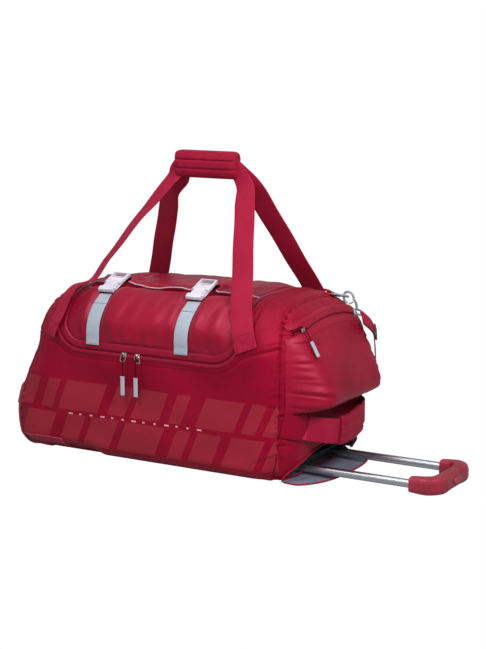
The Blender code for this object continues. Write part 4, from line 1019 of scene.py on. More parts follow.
def build_body_fabric():
    """One cloth skin with an end panel at each side and its openings cut out."""
    floor_steps = 26
    climb = np.concatenate([
        np.linspace(0, 0.2, floor_steps, endpoint=False),
        np.linspace(0.2, 0.3, 18, endpoint=False),
        np.linspace(0.3, 0.6, 92, endpoint=False), np.linspace(0.6, 1.0, 104)])
    grids = [skin_grid(climb), end_grid(0, climb, floor_steps), end_grid(1, climb, floor_steps)]
    points, normals = (np.concatenate([g[i].reshape(-1, 3) for g in grids]) for i in (0, 2))
    relief, on_lid = (np.concatenate([g[i].reshape(-1) for g in grids]) for i in (1, 3))
    starts = np.cumsum([0] + [g[1].size for g in grids])
    faces = np.concatenate([g[4] + start for g, start in zip(grids, starts)])
    snap_wells(points)
    x, y, z = points.T
    wide = np.abs(y)
    in_well = ((x < WELL_X + 0.0004) & (wide > WELL_IN - 0.0004) & (wide < WELL_OUT + 0.0004)
               & (z < WELL_Z + 0.0004))
    in_mouth = (x > 0.2311) & (mouth_level(y, z) < 1.004) & (z > 0.0084)
    cut = on_lid[faces].all(1) | in_well[faces].all(1) | in_mouth[faces].all(1)
    points = points + normals * relief[:, None]
    points[:, 2] += corner_lift(points) * (1 - ease(points[:, 0], -0.172, -0.142))

    work = bmesh.new()
    verts = [work.verts.new(point) for point in points]
    for face in faces[~cut]:
        work.faces.new([verts[i] for i in face])
    bmesh.ops.remove_doubles(work, verts=work.verts[:], dist=0.00025)
    bmesh.ops.dissolve_degenerate(work, edges=work.edges[:], dist=0.00005)
    drop_loose(work)
    bmesh.ops.recalc_face_normals(work, faces=work.faces[:])
    mesh = bpy.data.meshes.new("body_fabric")
    work.to_mesh(mesh)
    work.free()
    mesh.polygons.foreach_set("use_smooth", np.ones(len(mesh.polygons), bool))
    mesh.materials.append(MATERIALS["nylon"])
    mesh.materials.append(MATERIALS["lining"])
    body = bpy.data.objects.new("body_fabric", mesh)
    bpy.context.scene.collection.objects.link(body)
    if sum(face.normal.dot(face.center - Vector((face.center.x, 0, 0.15)))
           for face in list(mesh.polygons)[::50]) < 0:
        mesh.flip_normals()
    cloth = body.modifiers.new("cloth", "SOLIDIFY")
    cloth.thickness, cloth.offset = 0.0020, -1.0
    cloth.material_offset, cloth.material_offset_rim = 1, 0
    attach(body, "bag")
    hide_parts("body_shell")


def drop_loose(work):
    loose = [vert for vert in work.verts if not vert.link_faces]
    bmesh.ops.delete(work, geom=loose, context="VERTS")


def build_end_piping():
    """Cords sewn into the end seams, in the dark zip-tape cloth as painted shade of the seam's
    groove, with a row of stitches on each side.
    """
    turn = np.linspace(0.5 - 0.372, 0.5 + 0.372, 220)
    arc = arc_at_turn(turn)
    for seam, side in ((RIGHT_SEAM, "right"), (LEFT_SEAM, "left")):
        points = body_point(seam, turn)
        strip = body_point(np.array([[seam - 0.004], [seam], [seam + 0.004]]), turn[None])
        normals = face_out(normals_of(strip)[1], points)
        keep = points[:, 2] > 0.012
        relief = skin_relief(seam, turn, points, arc)
        relief = np.convolve(np.pad(relief, 3, "edge"), np.ones(7) / 7, "valid")
        # the cord's dark cloth is painted shade: it darkens the groove the cord sits in
        tube("end_piping_" + side, (points + normals * (relief + 0.0002)[:, None])[keep],
             0.0015, "tape")
        for shift in (-0.010, 0.010):
            row = body_point(seam + shift, turn)
            relief = skin_relief(seam + shift, turn, row, arc)
            stitch("bag", (row + normals * (relief + 0.0003)[:, None])[keep], normals[keep])


# ---------------------------------------------------------------- lid
PIPING_Y = -0.0765
PIPING_ARC = arc_at_y(PIPING_Y)


def piping_middle(x):
    """1 over the middle of the piping, 0 near its ends."""
    return ease(x, -0.145, -0.110) * (1 - ease(x, 0.10, 0.15))


def lid_relief(x, arc):
    """How far the padded lid stands off the CAD surface."""
    x, arc = np.broadcast_arrays(x, arc)
    inset = np.minimum(-lid_distance(x, arc), LID_ARC - arc + 0.03)
    off_strap = 1.0
    for strap_x in STRAP_X.values():
        press = 1 - ease(np.abs(x - strap_x), 0.016, 0.034) * 0.9
        off_strap = off_strap * (1 - bell(x - strap_x, 0.0225) * press)
    behind = arc - PIPING_ARC

    def ripple(x_rate, arc_rate, seed):
        return noise_at(x * x_rate + seed, arc * arc_rate + seed, seed)

    pad = ease(inset, 0.012, 0.058) * (1 - ease(behind, -0.055, -0.002) * 0.62)
    relief = (0.0105 - 0.0030 * ease(-x, 0.15, 0.20)) * pad * off_strap
    relief += 0.0016 * off_strap * ripple(16, 20, 2.2) * ease(inset, 0.012, 0.05)
    # gathers that run up from the zip seam, and soft streaks above them
    up = ease(inset, 0.012, 0.019) * off_strap
    relief += (0.0026 * noise_at(x * 70, arc * 9, 4.4) * (1 - ease(arc, 0.022, 0.060))
               + 0.0027 * noise_at(x * 27, arc * 6, 9.4) * (1 - ease(arc, 0.05, 0.13))) * up
    relief += 0.0021 * noise_at((x - 0.35 * arc) * 46, arc * 8, 2.4) * up
    # sewn row inside the zip, the flat band outside it
    relief += -0.0022 * bell(inset - 0.0125, 0.0026) - 0.0004 * (1 - ease(inset, 0.002, 0.012))
    # fold in front of the reflective piping
    middle = off_strap * ease(inset, 0.01, 0.03)
    wide = 0.0085 + 0.0030 * bell(x + 0.06, 0.05)
    groove = PIPING_ARC - 0.0115 + 0.002 * np.sin(x * 60)
    relief += (-0.0165 * bell(arc - groove, wide) * middle
               * (0.30 + 0.70 * piping_middle(x)))
    relief += 0.0048 * bell(behind - 0.003, 0.008) * middle
    # cloth drawn up beside and behind the buckles
    for strap_x in STRAP_X.values():
        side = x - strap_x
        away = np.hypot(side * 0.8, behind - 0.024)
        relief += (0.0036 * np.cos(side * 330 + 6 * ripple(30, 30, 5.5)) * bell(away, 0.026)
                   * ease(behind, -0.002, 0.014) * ease(np.abs(side), 0.015, 0.021))
        relief += (0.0078 * bell(side - 0.029 - 0.25 * (behind - 0.018), 0.0095)
                   * bell(behind - 0.019, 0.013))
        relief += 0.0040 * bell(side + 0.023, 0.008) * bell(behind - 0.015, 0.013)
    relief += 0.0014 * ripple(40, 14, 7.0) * ease(behind, 0.01, 0.04) * ease(inset, 0.01, 0.03)
    return relief


def fold_arc(x, arc):
    """Pushes the cloth behind the piping forward over the groove in front of it."""
    push = ease(x, LID_LEFT + 0.012, LID_LEFT + 0.06)
    push = push * (1 - ease(x, LID_RIGHT - 0.06, LID_RIGHT - 0.012))
    for strap_x in STRAP_X.values():
        push = push * ease(np.abs(x - strap_x), 0.018, 0.032)
    push = push * (0.35 + 0.65 * piping_middle(x))
    return arc - 0.0120 * push * bell(arc - PIPING_ARC - 0.0008, 0.0080)


def build_lid_fabric():
    curved = LID_RADIUS * (1 - np.cos(np.linspace(0, pi / 2, 34)))
    arc_rows = np.concatenate([curved, np.linspace(LID_RADIUS, LID_ARC, 217)[1:]])
    inset = drop(arc_rows, LID_RADIUS)[:, None]
    x = LID_LEFT + inset + ((LID_RIGHT - LID_LEFT) - 2 * inset) * np.linspace(0, 1, 300)[None]
    arc = np.repeat(arc_rows[:, None], 300, 1)
    sheet("lid_fabric", on_arc(x, fold_arc(x, arc), lid_relief(x, arc)), 0.0021, "nylon_lid",
          "lid", inner="lining", replaces="lid_panel", slot="nylon")


# ---------------------------------------------------------------- main zip
def zip_band(name, start, end, offs, thick, material, body, **options):
    """A strip round the lid between two margins, one height off the skin per row."""
    rows = [outline(margin) for margin in np.linspace(start, end, len(offs))]
    x, arc = (np.stack([row[i] for row in rows], 1) for i in (0, 1))
    sheet(name, on_arc(x, arc, offs), thick, material, body, **options)


def build_main_zip():
    """Two tapes, an interlocked coil and a bound edge."""
    zip_band("zip_tape_bag", 0.0048, 0.0100, (0.0004, 0.0006, 0.0002, -0.0004), 0.0007, "tape",
             "bag", replaces="zip_tape", slot="zip_tape")
    zip_band("zip_tape_lid", -0.0030, 0.0042, (-0.0024, -0.0004, 0.0006, 0.0004), 0.0007, "tape",
             "lid", slot="zip_tape")
    zip_band("zip_binding", 0.0062, 0.0150, (0.0004, 0.0016, 0.0021, 0.0020, 0.0015, 0.0002),
             0.0016, "binding", "bag", slot="nylon")
    x, arc = outline(0.0137)
    stitch("bag", on_arc(x, arc, 0.0016), arc_normal(x, arc), pitch=0.0038)
    x, arc = outline(0.0226)
    keep = arc < LID_ARC - 0.02
    stitch("bag", on_arc(x, arc)[keep], arc_normal(x, arc)[keep], pitch=0.0040)
    x, arc = outline(-0.0125)
    stitch("lid", on_arc(x, arc, lid_relief(x, arc) + 0.0006), arc_normal(x, arc), pitch=0.0040)

    x, arc = outline(0.0044)
    at, known, places = coil_places(on_arc(x, arc, -0.0014), arc_normal(x, arc), 0.00135)
    centres, _, across, _ = places
    x, arc = outline(-0.002)
    lid_side = on_skin(np.interp(at, known, x), np.interp(at, known, turn_at_arc(arc)))
    outwards = np.sign((across * (centres - lid_side)).sum(1))
    for i, (body, side) in enumerate((("bag", 1), ("lid", -1))):
        shifted = centres + across * (outwards * side * 0.0006)[:, None]
        alternate = np.arange(len(at)) % 2 == i
        scatter("zip_coil_" + body, [part[alternate] for part in (shifted, *places[1:])],
                bead(0.00062, 0.0017, 0.0010), "coil", body)


# ---------------------------------------------------------------- piping and straps on the lid
def build_reflective_piping():
    x = np.linspace(LID_LEFT + 0.006, LID_RIGHT - 0.006, 160)
    low = 1.0                               # sinks under the straps
    for strap_x in STRAP_X.values():
        low = low * (1 - 0.9 * (1 - ease(np.abs(x - strap_x), 0.017, 0.024)))
    lift = np.maximum(lid_relief(x, PIPING_ARC), 0) * low + 0.0007 * low - 0.0004
    tube("reflective_piping", on_arc(x, fold_arc(x, PIPING_ARC), lift), 0.0013, "reflect",
         "lid", side=(0, 1, 0), replaces="lid_piping", slot="grey_webbing")


def build_lid_straps():
    """On each side a grey strap in front of the buckle and a crimson one behind it."""
    end = arc_at_y(-0.1232)
    row_x = np.linspace(-0.013, 0.013, 12)
    grey_arc = np.linspace(0.0055, end, 70)
    web_arc = np.linspace(PIPING_ARC, LID_ARC - 0.010, 90)
    along = web_arc - web_arc[0]
    for side, strap_x in STRAP_X.items():
        high = np.max([lid_relief(strap_x + off, grey_arc)
                       for off in (-0.0155, -0.0145, 0.0, 0.0145, 0.0155)], axis=0)
        high = np.convolve(np.pad(high, 4, "edge"), np.ones(9) / 9, "valid")
        free = ease(grey_arc, 0.010, 0.030) * (1 - ease(grey_arc, end - 0.034, end - 0.012))
        low = np.maximum(lid_relief(strap_x, grey_arc), 0.0) + 0.0013
        wobble = 0.0006 * np.sin(grey_arc * 70 + strap_x * 30)
        curve = on_arc(strap_x + wobble, grey_arc,
                       low * (1 - free) + np.maximum(low, high + 0.0010) * free)
        tape("lid_strap_web_" + side, curve, (1, 0, 0), 0.0152, 0.0007, "grey_web", "lid",
             replaces="lid_strap_" + side, slot="grey_webbing")
        folded = grey_arc > end - 0.028
        tape("lid_strap_fold_" + side,
             curve[folded] + arc_normal(strap_x, grey_arc[folded]) * 0.0014,
             (1, 0, 0), 0.0150, 0.0006, "grey_web", "lid", slot="grey_webbing")
        normals = arc_normal(strap_x + row_x, end - 0.025)
        for arc, off in ((end - 0.0255, 0.0035), (0.0085, 0.0022)):
            stitch("lid", on_arc(strap_x + row_x, arc, off), normals, colour="thread_grey",
                   pitch=0.0030, length=0.002)
        lift = (np.maximum(lid_relief(strap_x, web_arc), 0.0) + 0.0013
                + 0.0085 * (1 - ease(along, 0.010, 0.044))
                + 0.0014 * np.sin(along * 150) * bell(along - 0.03, 0.02))
        tape("buckle_strap_" + side, on_arc(strap_x, web_arc, lift), (1, 0, 0), 0.0150, 0.0007,
             "web", "lid", replaces="buckle_web_" + side, slot="webbing")
        cad("buckle_socket_" + side, "buckle", 0.0006)
        cad("buckle_prong_" + side, "buckle", 0.0006)


# ---------------------------------------------------------------- zip sliders and pulls
SLIDER_LOOP = [             # x, z of the wire loop, from the bridge
    (0.0, 0.0012), (0.0042, 0.0008), (0.0054, -0.0020), (0.0054, -0.0090), (0.0040, -0.0118),
    (0.0, -0.0124), (-0.0040, -0.0118), (-0.0054, -0.0090), (-0.0054, -0.0020),
    (-0.0042, 0.0008)]


def build_sliders():
    for node in ("zip_slider_left", "zip_slider_right", "pocket_slider"):
        cad(node, "slider", 0.0005)
    for node in ("zip_pull_left", "zip_pull_right", "pocket_pull"):
        cad(node, "pulltab")
        mesh = NODES[node].data
        mesh.materials.append(MATERIALS["coil"])
        low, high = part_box(node)
        face_z = np.array([sum(mesh.vertices[i].co.z for i in face.vertices)
                           / len(face.vertices) for face in mesh.polygons])
        cut = low.z + (0.0385 if node != "pocket_pull" else (high.z - low.z) * 0.58)
        mesh.polygons.foreach_set("material_index", (face_z > cut).astype(np.int32))
        mesh.update()
    for side, x, lean in (("left", -0.081, -0.0022), ("right", -0.050, 0.0026)):
        slider = "zip_slider_" + side
        low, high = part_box(slider)
        middle = (low.z + high.z) / 2
        angle = np.linspace(-1.15, 1.15, 15)
        arch = np.stack([np.full(15, x), low.y + 0.0006 - 0.0024 * np.cos(angle),
                         middle + 0.0036 * np.sin(angle) / math.sin(1.15)], -1)
        tube("slider_bridge_" + side, arch, 0.0011, "slider", slider, side=(1, 0, 0))
        loop = [(x + dx + lean * (0.0012 - dz) / 0.012, low.y - 0.0016 + 0.05 * dz,
                 middle - 0.0008 + dz) for dx, dz in SLIDER_LOOP]
        tube("slider_loop_" + side, spline(loop, 60, closed=True), 0.0010, "slider", slider,
             closed=True, side=(0, 1, 0))


# ---------------------------------------------------------------- carry loops
LOOP_Y = -0.0042                # the front loop's strap at the top; the rear one is mirrored
GRIP_HALF = 0.0720
GRIP_Z = LOOP_Z + 0.001
LEG_LOW = [on_skin(0.0, float(turn_at_z(z)), 0.0036)[1:]
           for z in (0.2375, 0.250, 0.263, 0.276, 0.289)]
LEG_RISE = [LEG_LOW[-1] + (np.array([LOOP_Y, 0.556]) - LEG_LOW[-1]) * i / 6 for i in range(1, 7)]
LEG = np.array(LEG_LOW + LEG_RISE + [(LOOP_Y, LOOP_Z)])         # y, z up a front leg
LEG_LENGTHS = lengths(LEG)
LEG_TOP = float(LEG_LENGTHS[-1])


def leg(climbed, x, lift, more_lift):
    """Points of a front leg at distances up it; its sewn end lies on the cloth."""
    y, z = columns(climbed, LEG_LENGTHS, LEG).T
    y = y - (lift + more_lift * ease(climbed, 0.03, 0.07))
    free = ease(z, 0.258, 0.296)
    flat = on_skin(x, turn_at_z(np.minimum(z, 0.289)), 0.0034)
    return np.stack([x, y * free + flat[:, 1] * (1 - free),
                     z * free + flat[:, 2] * (1 - free)], -1)


def carry_curve(mirror):
    """Centre line from the left sewn end to the right one, and its three top corners."""
    if mirror > 0:
        top_x = -0.0765
        left = [on_skin(x, float(turn_at_z(z)), 0.0030) for x, z in (
            (-0.2640, 0.2440), (-0.2600, 0.2580), (-0.2560, 0.2720), (-0.2500, 0.2860))]
        left += [on_skin(-0.2430, float(turn_at_y(-0.1400)), 0.0090),
                 on_skin(-0.2330, float(turn_at_y(-0.1160)), 0.0160),
                 (-0.2160, -0.0900, 0.3500), (-0.1930, -0.0700, 0.3930),
                 (-0.1600, -0.0500, 0.4430), (-0.1250, -0.0300, 0.4940)]
    else:
        top_x = -0.0640
        climbed = np.linspace(0.0, LEG_TOP - 0.030, 60)
        x = -0.262 + (-GRIP_HALF + 0.262) * climbed / LEG_TOP
        left = list(leg(climbed, x, 0.0012, 0.0014)[::6] * np.array([1, -1, 1]))
    top = np.array([
        (top_x - 0.0010, -0.0085, 0.5540), (top_x + 0.0060, -0.0050, 0.5690),
        (top_x + 0.0160, LOOP_Y, 0.5790), (-0.036, LOOP_Y, LOOP_Z), (0.0, LOOP_Y, LOOP_Z),
        (0.040, LOOP_Y, LOOP_Z), (0.0620, LOOP_Y, 0.5790), (0.0740, -0.0046, 0.5690)])
    top = top * np.array([1, mirror, 1])
    climbed = np.linspace(LEG_TOP - 0.030, 0.0, 60)
    x = 0.0845 + (0.190 - 0.0845) * (1 - climbed / LEG_TOP) + 0.009 * (1 - ease(climbed, 0, 0.09))
    right = leg(climbed, x, 0.0010, 0.0016)[2::6] * np.array([1, mirror, 1])
    return spline(left + list(top) + list(right), 300), top[[0, 2, 6]]


def box_stitch(curve, across, known, start, end, half):
    """A stitched box with a cross in it."""
    _, wide, out = frames(curve, across)
    away = (curve - np.array([0, 0, 0.15])) * np.array([0, 1, 1])
    out = out * np.sign((out * away).sum(1, keepdims=True) + 1e-9)
    corners = [(start, -half), (start, half), (end, half), (end, -half), (start, -half),
               (end, half)]
    k = np.linspace(0, 1, 20)
    for first, last in [*zip(corners, corners[1:]), (corners[1], corners[3])]:
        at = first[0] + (last[0] - first[0]) * k
        off = first[1] + (last[1] - first[1]) * k
        middle, side, up = (columns(at, known, table) for table in (curve, wide, out))
        stitch("bag", middle + side * off[:, None] + up * 0.00125, up, pitch=0.0034,
               length=0.0024)


def build_carry_webbing():
    for side, mirror in (("front", 1), ("rear", -1)):
        curve, corners = carry_curve(mirror)
        known = lengths(curve)

        def nearest(point):
            return int(np.argmin(np.linalg.norm(curve - point, axis=1)))
        i_top, i_in, i_out = (nearest(corner) for corner in corners)
        i_right = nearest(np.array([0.092, curve[i_out][1], 0.53]))
        top, outer = known[i_top], known[i_out]
        # distance along the strap, direction of its width
        if mirror > 0:
            keys = [(0, (0.90, -0.40, 0.0)), (top * 0.16, (0.88, -0.46, -0.1)),
                    (top * 0.30, (0.932, -0.591, 0.178)), (top * 0.50, (0.889, -0.6165, 0.178)),
                    (top * 0.80, (1.0352, -0.5298, 0.178)), (top, (0.92, -0.4, -0.3))]
        else:
            keys = [(0, (1, 0, 0)), (top, (0.90, 0, -0.42))]
        keys += [(known[i_in], (0.1, 0, -1)), (outer, (-0.1, 0, -1)),
                 (known[i_right], (-0.93, 0, -0.3)), (known[-1], (-1, 0, 0))]
        across = columns(known, [key[0] for key in keys], [unit(key[1]) for key in keys])
        half_width = 0.0235 - (0.0065 * ease(known, top - 0.09, top)
                               * (1 - ease(known, outer, outer + 0.09)))
        if mirror > 0:
            half_width = half_width - 0.0050 * (1 - ease(known, top * 0.7, top))
        ripple = 0.0008 * np.sin(known * 55 + mirror) * ease(known, 0.06, 0.10)
        curve = curve + unit(np.cross(np.gradient(curve, axis=0), across)) * ripple[:, None]
        ob = tape("carry_webbing_" + side, curve, across, half_width, 0.0010, "web", None,
                  replaces="carry_strap_" + side, slot="webbing")
        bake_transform(ob)
        known = lengths(curve) if False else known
        box_stitch(curve, across, known, known[0] + 0.004, known[0] + 0.030,
                   0.0185 if mirror < 0 else 0.0130)
        box_stitch(curve, across, known, known[-1] - 0.032, known[-1] - 0.004, 0.0185)


def build_grip_wraps():
    """Half a padded sleeve round each strap, closed together over the bag."""
    half_height, depth, channel, round_length = 0.0272, 0.0163, 0.0088, 0.0150
    curved = GRIP_HALF - round_length * (1 - np.cos(np.linspace(0, pi / 2, 16)))
    xs = np.concatenate([-curved, np.linspace(-0.057, 0.057, 62)[1:-1], curved[::-1]])
    xs = np.unique(np.round(xs, 6))
    full = 0.42 + 0.58 * rounded(np.clip((GRIP_HALF - np.abs(xs)) / round_length, 0, 1))[:, None]
    x, angle = np.meshgrid(xs, np.linspace(0, pi, 44), indexing="ij")
    sine = np.sin(angle)
    z = half_height * np.cos(angle) * (0.52 + 0.48 * full)
    channels = bell(z - channel, 0.0016) + bell(z + channel, 0.0016)
    stitch_x = np.linspace(-0.056, 0.056, 60)
    for side, mirror in (("front", 1), ("rear", -1)):
        y = (-0.0006 - depth * full * sine ** 0.55 + 0.0026 * channels * full
             + 0.0006 * noise_at(x * 60, z * 50, mirror) * sine)
        y -= 0.0012 * np.cos(x * 24) * sine
        outer = np.stack([x, y * mirror, GRIP_Z + z], -1)
        inner = np.stack([np.repeat(xs[:, None], 3, 1), np.full((len(xs), 3), -0.0005 * mirror),
                          GRIP_Z + np.array([-0.014, 0.0, 0.014])[None] * full], -1)
        grid = np.concatenate([outer, inner], 1)
        uv = np.concatenate([metric_uv(outer), np.zeros((len(xs), 3, 2))], 1)
        turn_out(make("grip_wrap_" + side, grid, ring_faces(*grid.shape[:2]), "web_wrap",
                      "carry_loop_" + side, uv=uv, replaces="carry_grip_" + side,
                      slot="webbing", sharp=55))
        for row_z in (channel, -channel, 0.0236, -0.0236):
            bend = math.acos(row_z / half_height)
            row_y = (-0.0006 - depth * math.sin(bend) ** 0.55
                     + (0.0026 if abs(row_z) < 0.01 else 0)
                     - 0.0012 * np.cos(stitch_x * 24) * math.sin(bend) - 0.0003)
            row = np.stack([stitch_x, row_y * mirror, GRIP_Z + row_z + 0 * stitch_x], -1)
            stitch("carry_loop_" + side, row,
                   np.array([0, -math.sin(bend) * mirror, math.cos(bend)]), pitch=0.0036)


# ---------------------------------------------------------------- end pocket
ARCH_RADIUS, ARCH_TOP = 0.45, 0.304             # the arched zip above the pocket
POCKET_FRONT, POCKET_REAR, POCKET_LOW = -0.1560, 0.139, 0.140
END_CENTRE = (0.0, 0, 0.2)                      # a place behind the end's sheets


def arch_z(y, radius=ARCH_RADIUS):
    return ARCH_TOP - ARCH_RADIUS + np.sqrt(radius ** 2 - y * y)


def arch_line(radius, off, y_end=0.128):
    y = np.linspace(-y_end, y_end, 160)
    return end_point(y, arch_z(y, radius), off), end_normal(y)


def pocket_depth(y, down):
    depth = (0.006 * np.minimum(down / 0.08, 1.0) ** 0.6
             + 0.050 * np.sin(np.minimum(down, 0.86) / 0.86 * pi / 2) ** 2)
    bottom = np.sqrt(np.maximum(1 - ((down - 0.86) / 0.14) ** 2, 0))
    depth = depth * np.where(down > 0.86, bottom, 1)
    inset = np.minimum((y - POCKET_FRONT) / 0.066, (POCKET_REAR - y) / 0.055)
    return 0.95 * depth * (1 - (1 - np.clip(inset, 0, 1)) ** 2.2)


def pocket_folds(y, z, down):
    fold = (0.0022 * noise_at(y * 9 + 3.3, z * 16 + 3.3, 3.3)
            + 0.0008 * noise_at(y * 26 + 8.1, z * 44 + 8.1, 8.1))
    away = y - POCKET_FRONT
    for i in range(10):                         # short level folds from the front edge
        shift = noise_at(i * 2.31, 4.2, 0.3)
        lean = noise_at(i * 1.73, 7.9, 0.8)
        long_fold = i in (2, 7, 8)
        reach = 0.022 + 0.075 * abs(lean) + (0.022 if long_fold else 0)
        off = z - (0.160 + i * 0.0135 + 0.014 * shift) + (0.35 * lean + 0.12) * away
        amount = max(0.0006, 0.0105 * abs(shift) - 0.0006) * (1.3 if long_fold else 0.8)
        fold += amount * np.exp(-(away / reach) ** 2) * (
            -1.0 * bell(off, 0.0026 + 0.040 * away)
            + 0.7 * bell(off - 0.0066, 0.0060 + 0.05 * away))
    away = POCKET_REAR - y
    for i in range(7):                          # and from the rear edge
        shift = noise_at(i * 1.9, 14.2, 2.3)
        off = z - (0.165 + i * 0.019 + 0.006 * shift) - 0.2 * shift * away
        fold += ((0.0016 + 0.003 * abs(shift)) * np.exp(-(away / 0.05) ** 2)
                 * (-bell(off, 0.0035) + 0.8 * bell(off - 0.007, 0.007)))
    fold += 0.0013 * noise_at(y * 62 + 2, down * 4 + 2, 2) * (1 - ease(down, 0.08, 0.20))
    fold += 0.0010 * noise_at(y * 60 + 5, down * 6 + 5, 5) * ease(down, 0.82, 0.92)
    return fold


def build_end_pocket():
    rows = np.concatenate([np.linspace(0, 0.86, 100),
                           0.86 + 0.14 * np.sin(np.linspace(0, pi / 2, 26))[1:]])
    k = np.linspace(-1, 1, 130)
    cols = ((POCKET_FRONT + POCKET_REAR) / 2 + (POCKET_REAR - POCKET_FRONT) / 2
            * np.sign(k) * (1 - (1 - np.abs(k)) ** 1.25))
    down, y = np.meshgrid(rows, cols, indexing="ij")
    y = y + 0.0080 * (1 - ease(down, 0.0, 0.30)) * np.clip(-(y + 0.10) / 0.056, 0, 1)
    z = arch_z(y) * (1 - down) + POCKET_LOW * down
    depth = pocket_depth(y, down)
    inside = ease(down, 0.02, 0.12) * np.clip(depth / 0.012, 0, 1)
    base = end_x(y, z) + 0.0014 + 0.0026 * ease(y - POCKET_FRONT, 0.0, 0.014)
    grid = np.stack([base + depth + pocket_folds(y, z, down) * inside, y, z], -1)
    grid[:3, :, 0] += 0.0006
    sheet("end_pocket_fabric", grid, 0.0020, "nylon_end", centre=END_CENTRE, inner="lining",
          replaces="end_pocket", slot="nylon")
    edge = np.concatenate([grid[0, 6:], grid[1:, -1]])      # top, then rear side
    tube("pocket_piping", spline(edge[::3], 240), 0.0011, "binding", slot="nylon")
    return grid[9]


def build_pocket_zip(pocket_row):
    tape_rows = ((-0.004, 0.0018), (0.001, 0.0016), (0.0045, 0.0014), (0.008, 0.0014),
                 (0.012, 0.0014))               # distance above the arch, off the skin
    grid = np.stack([arch_line(ARCH_RADIUS + up, off)[0] for up, off in tape_rows], 1)
    sheet("pocket_zip_tape_cloth", grid, 0.0006, "tape", centre=END_CENTRE,
          replaces="pocket_zip_tape", slot="zip_tape")

    y = np.linspace(-0.1345, 0.1300, 170)
    opened = 1 - ease(y, -0.113, -0.095)        # the lip stands back where the slider parks
    tuck = 0.25 + 0.75 * ease(y, -0.1345, -0.1180)
    rows = []
    for up, off in ((0.0018, 0.0040), (0.0020, 0.0056), (0.0052, 0.0062), (0.0100, 0.0052),
                    (0.0145, 0.0030), (0.0175, 0.0008)):
        back = (0.0080 - 0.0058 * up / 0.0175) * opened * (1 if up < 0.01 else 0.35)
        height = off * tuck + 0.0005 * np.sin(y * 190) * (up < 0.006)
        rows.append(end_point(y, arch_z(y, ARCH_RADIUS + up + back), height[:, None]))
    sheet("pocket_zip_lip", np.stack(rows, 1), 0.0012, "nylon_end", centre=END_CENTRE,
          slot="nylon")

    at, _, places = coil_places(*arch_line(ARCH_RADIUS + 0.0045, 0.0022), 0.00150)
    sway = np.where(np.arange(len(at)) % 2 == 0, 0.0005, -0.0005)[:, None]
    places[0] = places[0] + places[2] * sway
    scatter("pocket_zip_coil", places, bead(0.00062, 0.0016, 0.0009), "coil", "bag")
    stitch("bag", *arch_line(ARCH_RADIUS + 0.0120, 0.0052, 0.126))
    stitch("bag", pocket_row + np.array([0.0003, 0, 0]), np.array([1.0, 0, 0.3]))


# ---------------------------------------------------------------- grab handle
GRAB = [(0.2990, -0.095, 0.1030), (0.3150, -0.076, 0.098), (0.3240, -0.048, 0.093),
        (0.3270, -0.018, 0.093), (0.3255, 0.018, 0.096), (0.3205, 0.048, 0.099),
        (0.3125, 0.076, 0.101), (0.3010, 0.106, 0.101)]     # centre line between its sewn ends


def build_grab_handle():
    """Webbing across the right end with a padded sleeve round its middle."""
    front = end_point(np.linspace(-0.1580, -0.110, 12), np.linspace(0.1200, 0.1065, 12), 0.0030)
    rear = end_point(np.linspace(0.132, 0.1590, 7), np.linspace(0.0995, 0.098, 7), 0.0024)
    curve = spline([*front, *GRAB, *rear], 300)
    up = np.tile([0, 0, 1.0], (len(curve), 1))
    tape("grab_webbing", curve, up, 0.0230, 0.0011, "web", replaces="grab_band", slot="webbing")
    _, across, out = frames(curve, up)
    out = out * np.sign(out[:, :1] + 1e-9)
    y = curve[:, 1]
    part = (y > -0.1150) & (y < -0.0545)
    tape("grab_loop_piece", (curve + out * 0.0026)[part], up[part], 0.0240, 0.0010, "web",
         slot="webbing")
    part = y < -0.1115
    tape("grab_base_band", (curve + out * 0.0012)[part], up[part], 0.0250, 0.0008, "nylon_flat",
         slot="nylon")
    for off in (-0.0225, 0.0225):
        stitch("bag", (curve + across * off + out * 0.0022)[part], out[part])
    for row_y in (-0.1110, -0.060):
        i = int(np.argmin(np.abs(y - row_y)))
        stitch("bag", curve[i] + across[i] * np.linspace(-0.020, 0.020, 24)[:, None]
               + out[i] * 0.0039, out[i])
    part = np.abs(y) < 0.0500
    y = y[part]
    fill = 0.70 + 0.30 * rounded(np.clip((0.0500 - np.abs(y)) / 0.006, 0, 1))
    padded_sleeve("grab_sleeve_cloth", curve[part], across[part], out[part], "web_wrap", fill,
                  steps=64, square=0.62, half_width=0.0275,
                  half_thick=0.0074 * (1 + 0.05 * np.sin(y * 170)), taper=0.5,
                  grooves=(0, 0.0125, -0.0125), groove_width=0.0017, groove_depth=0.34,
                  replaces="grab_sleeve", slot="webbing")


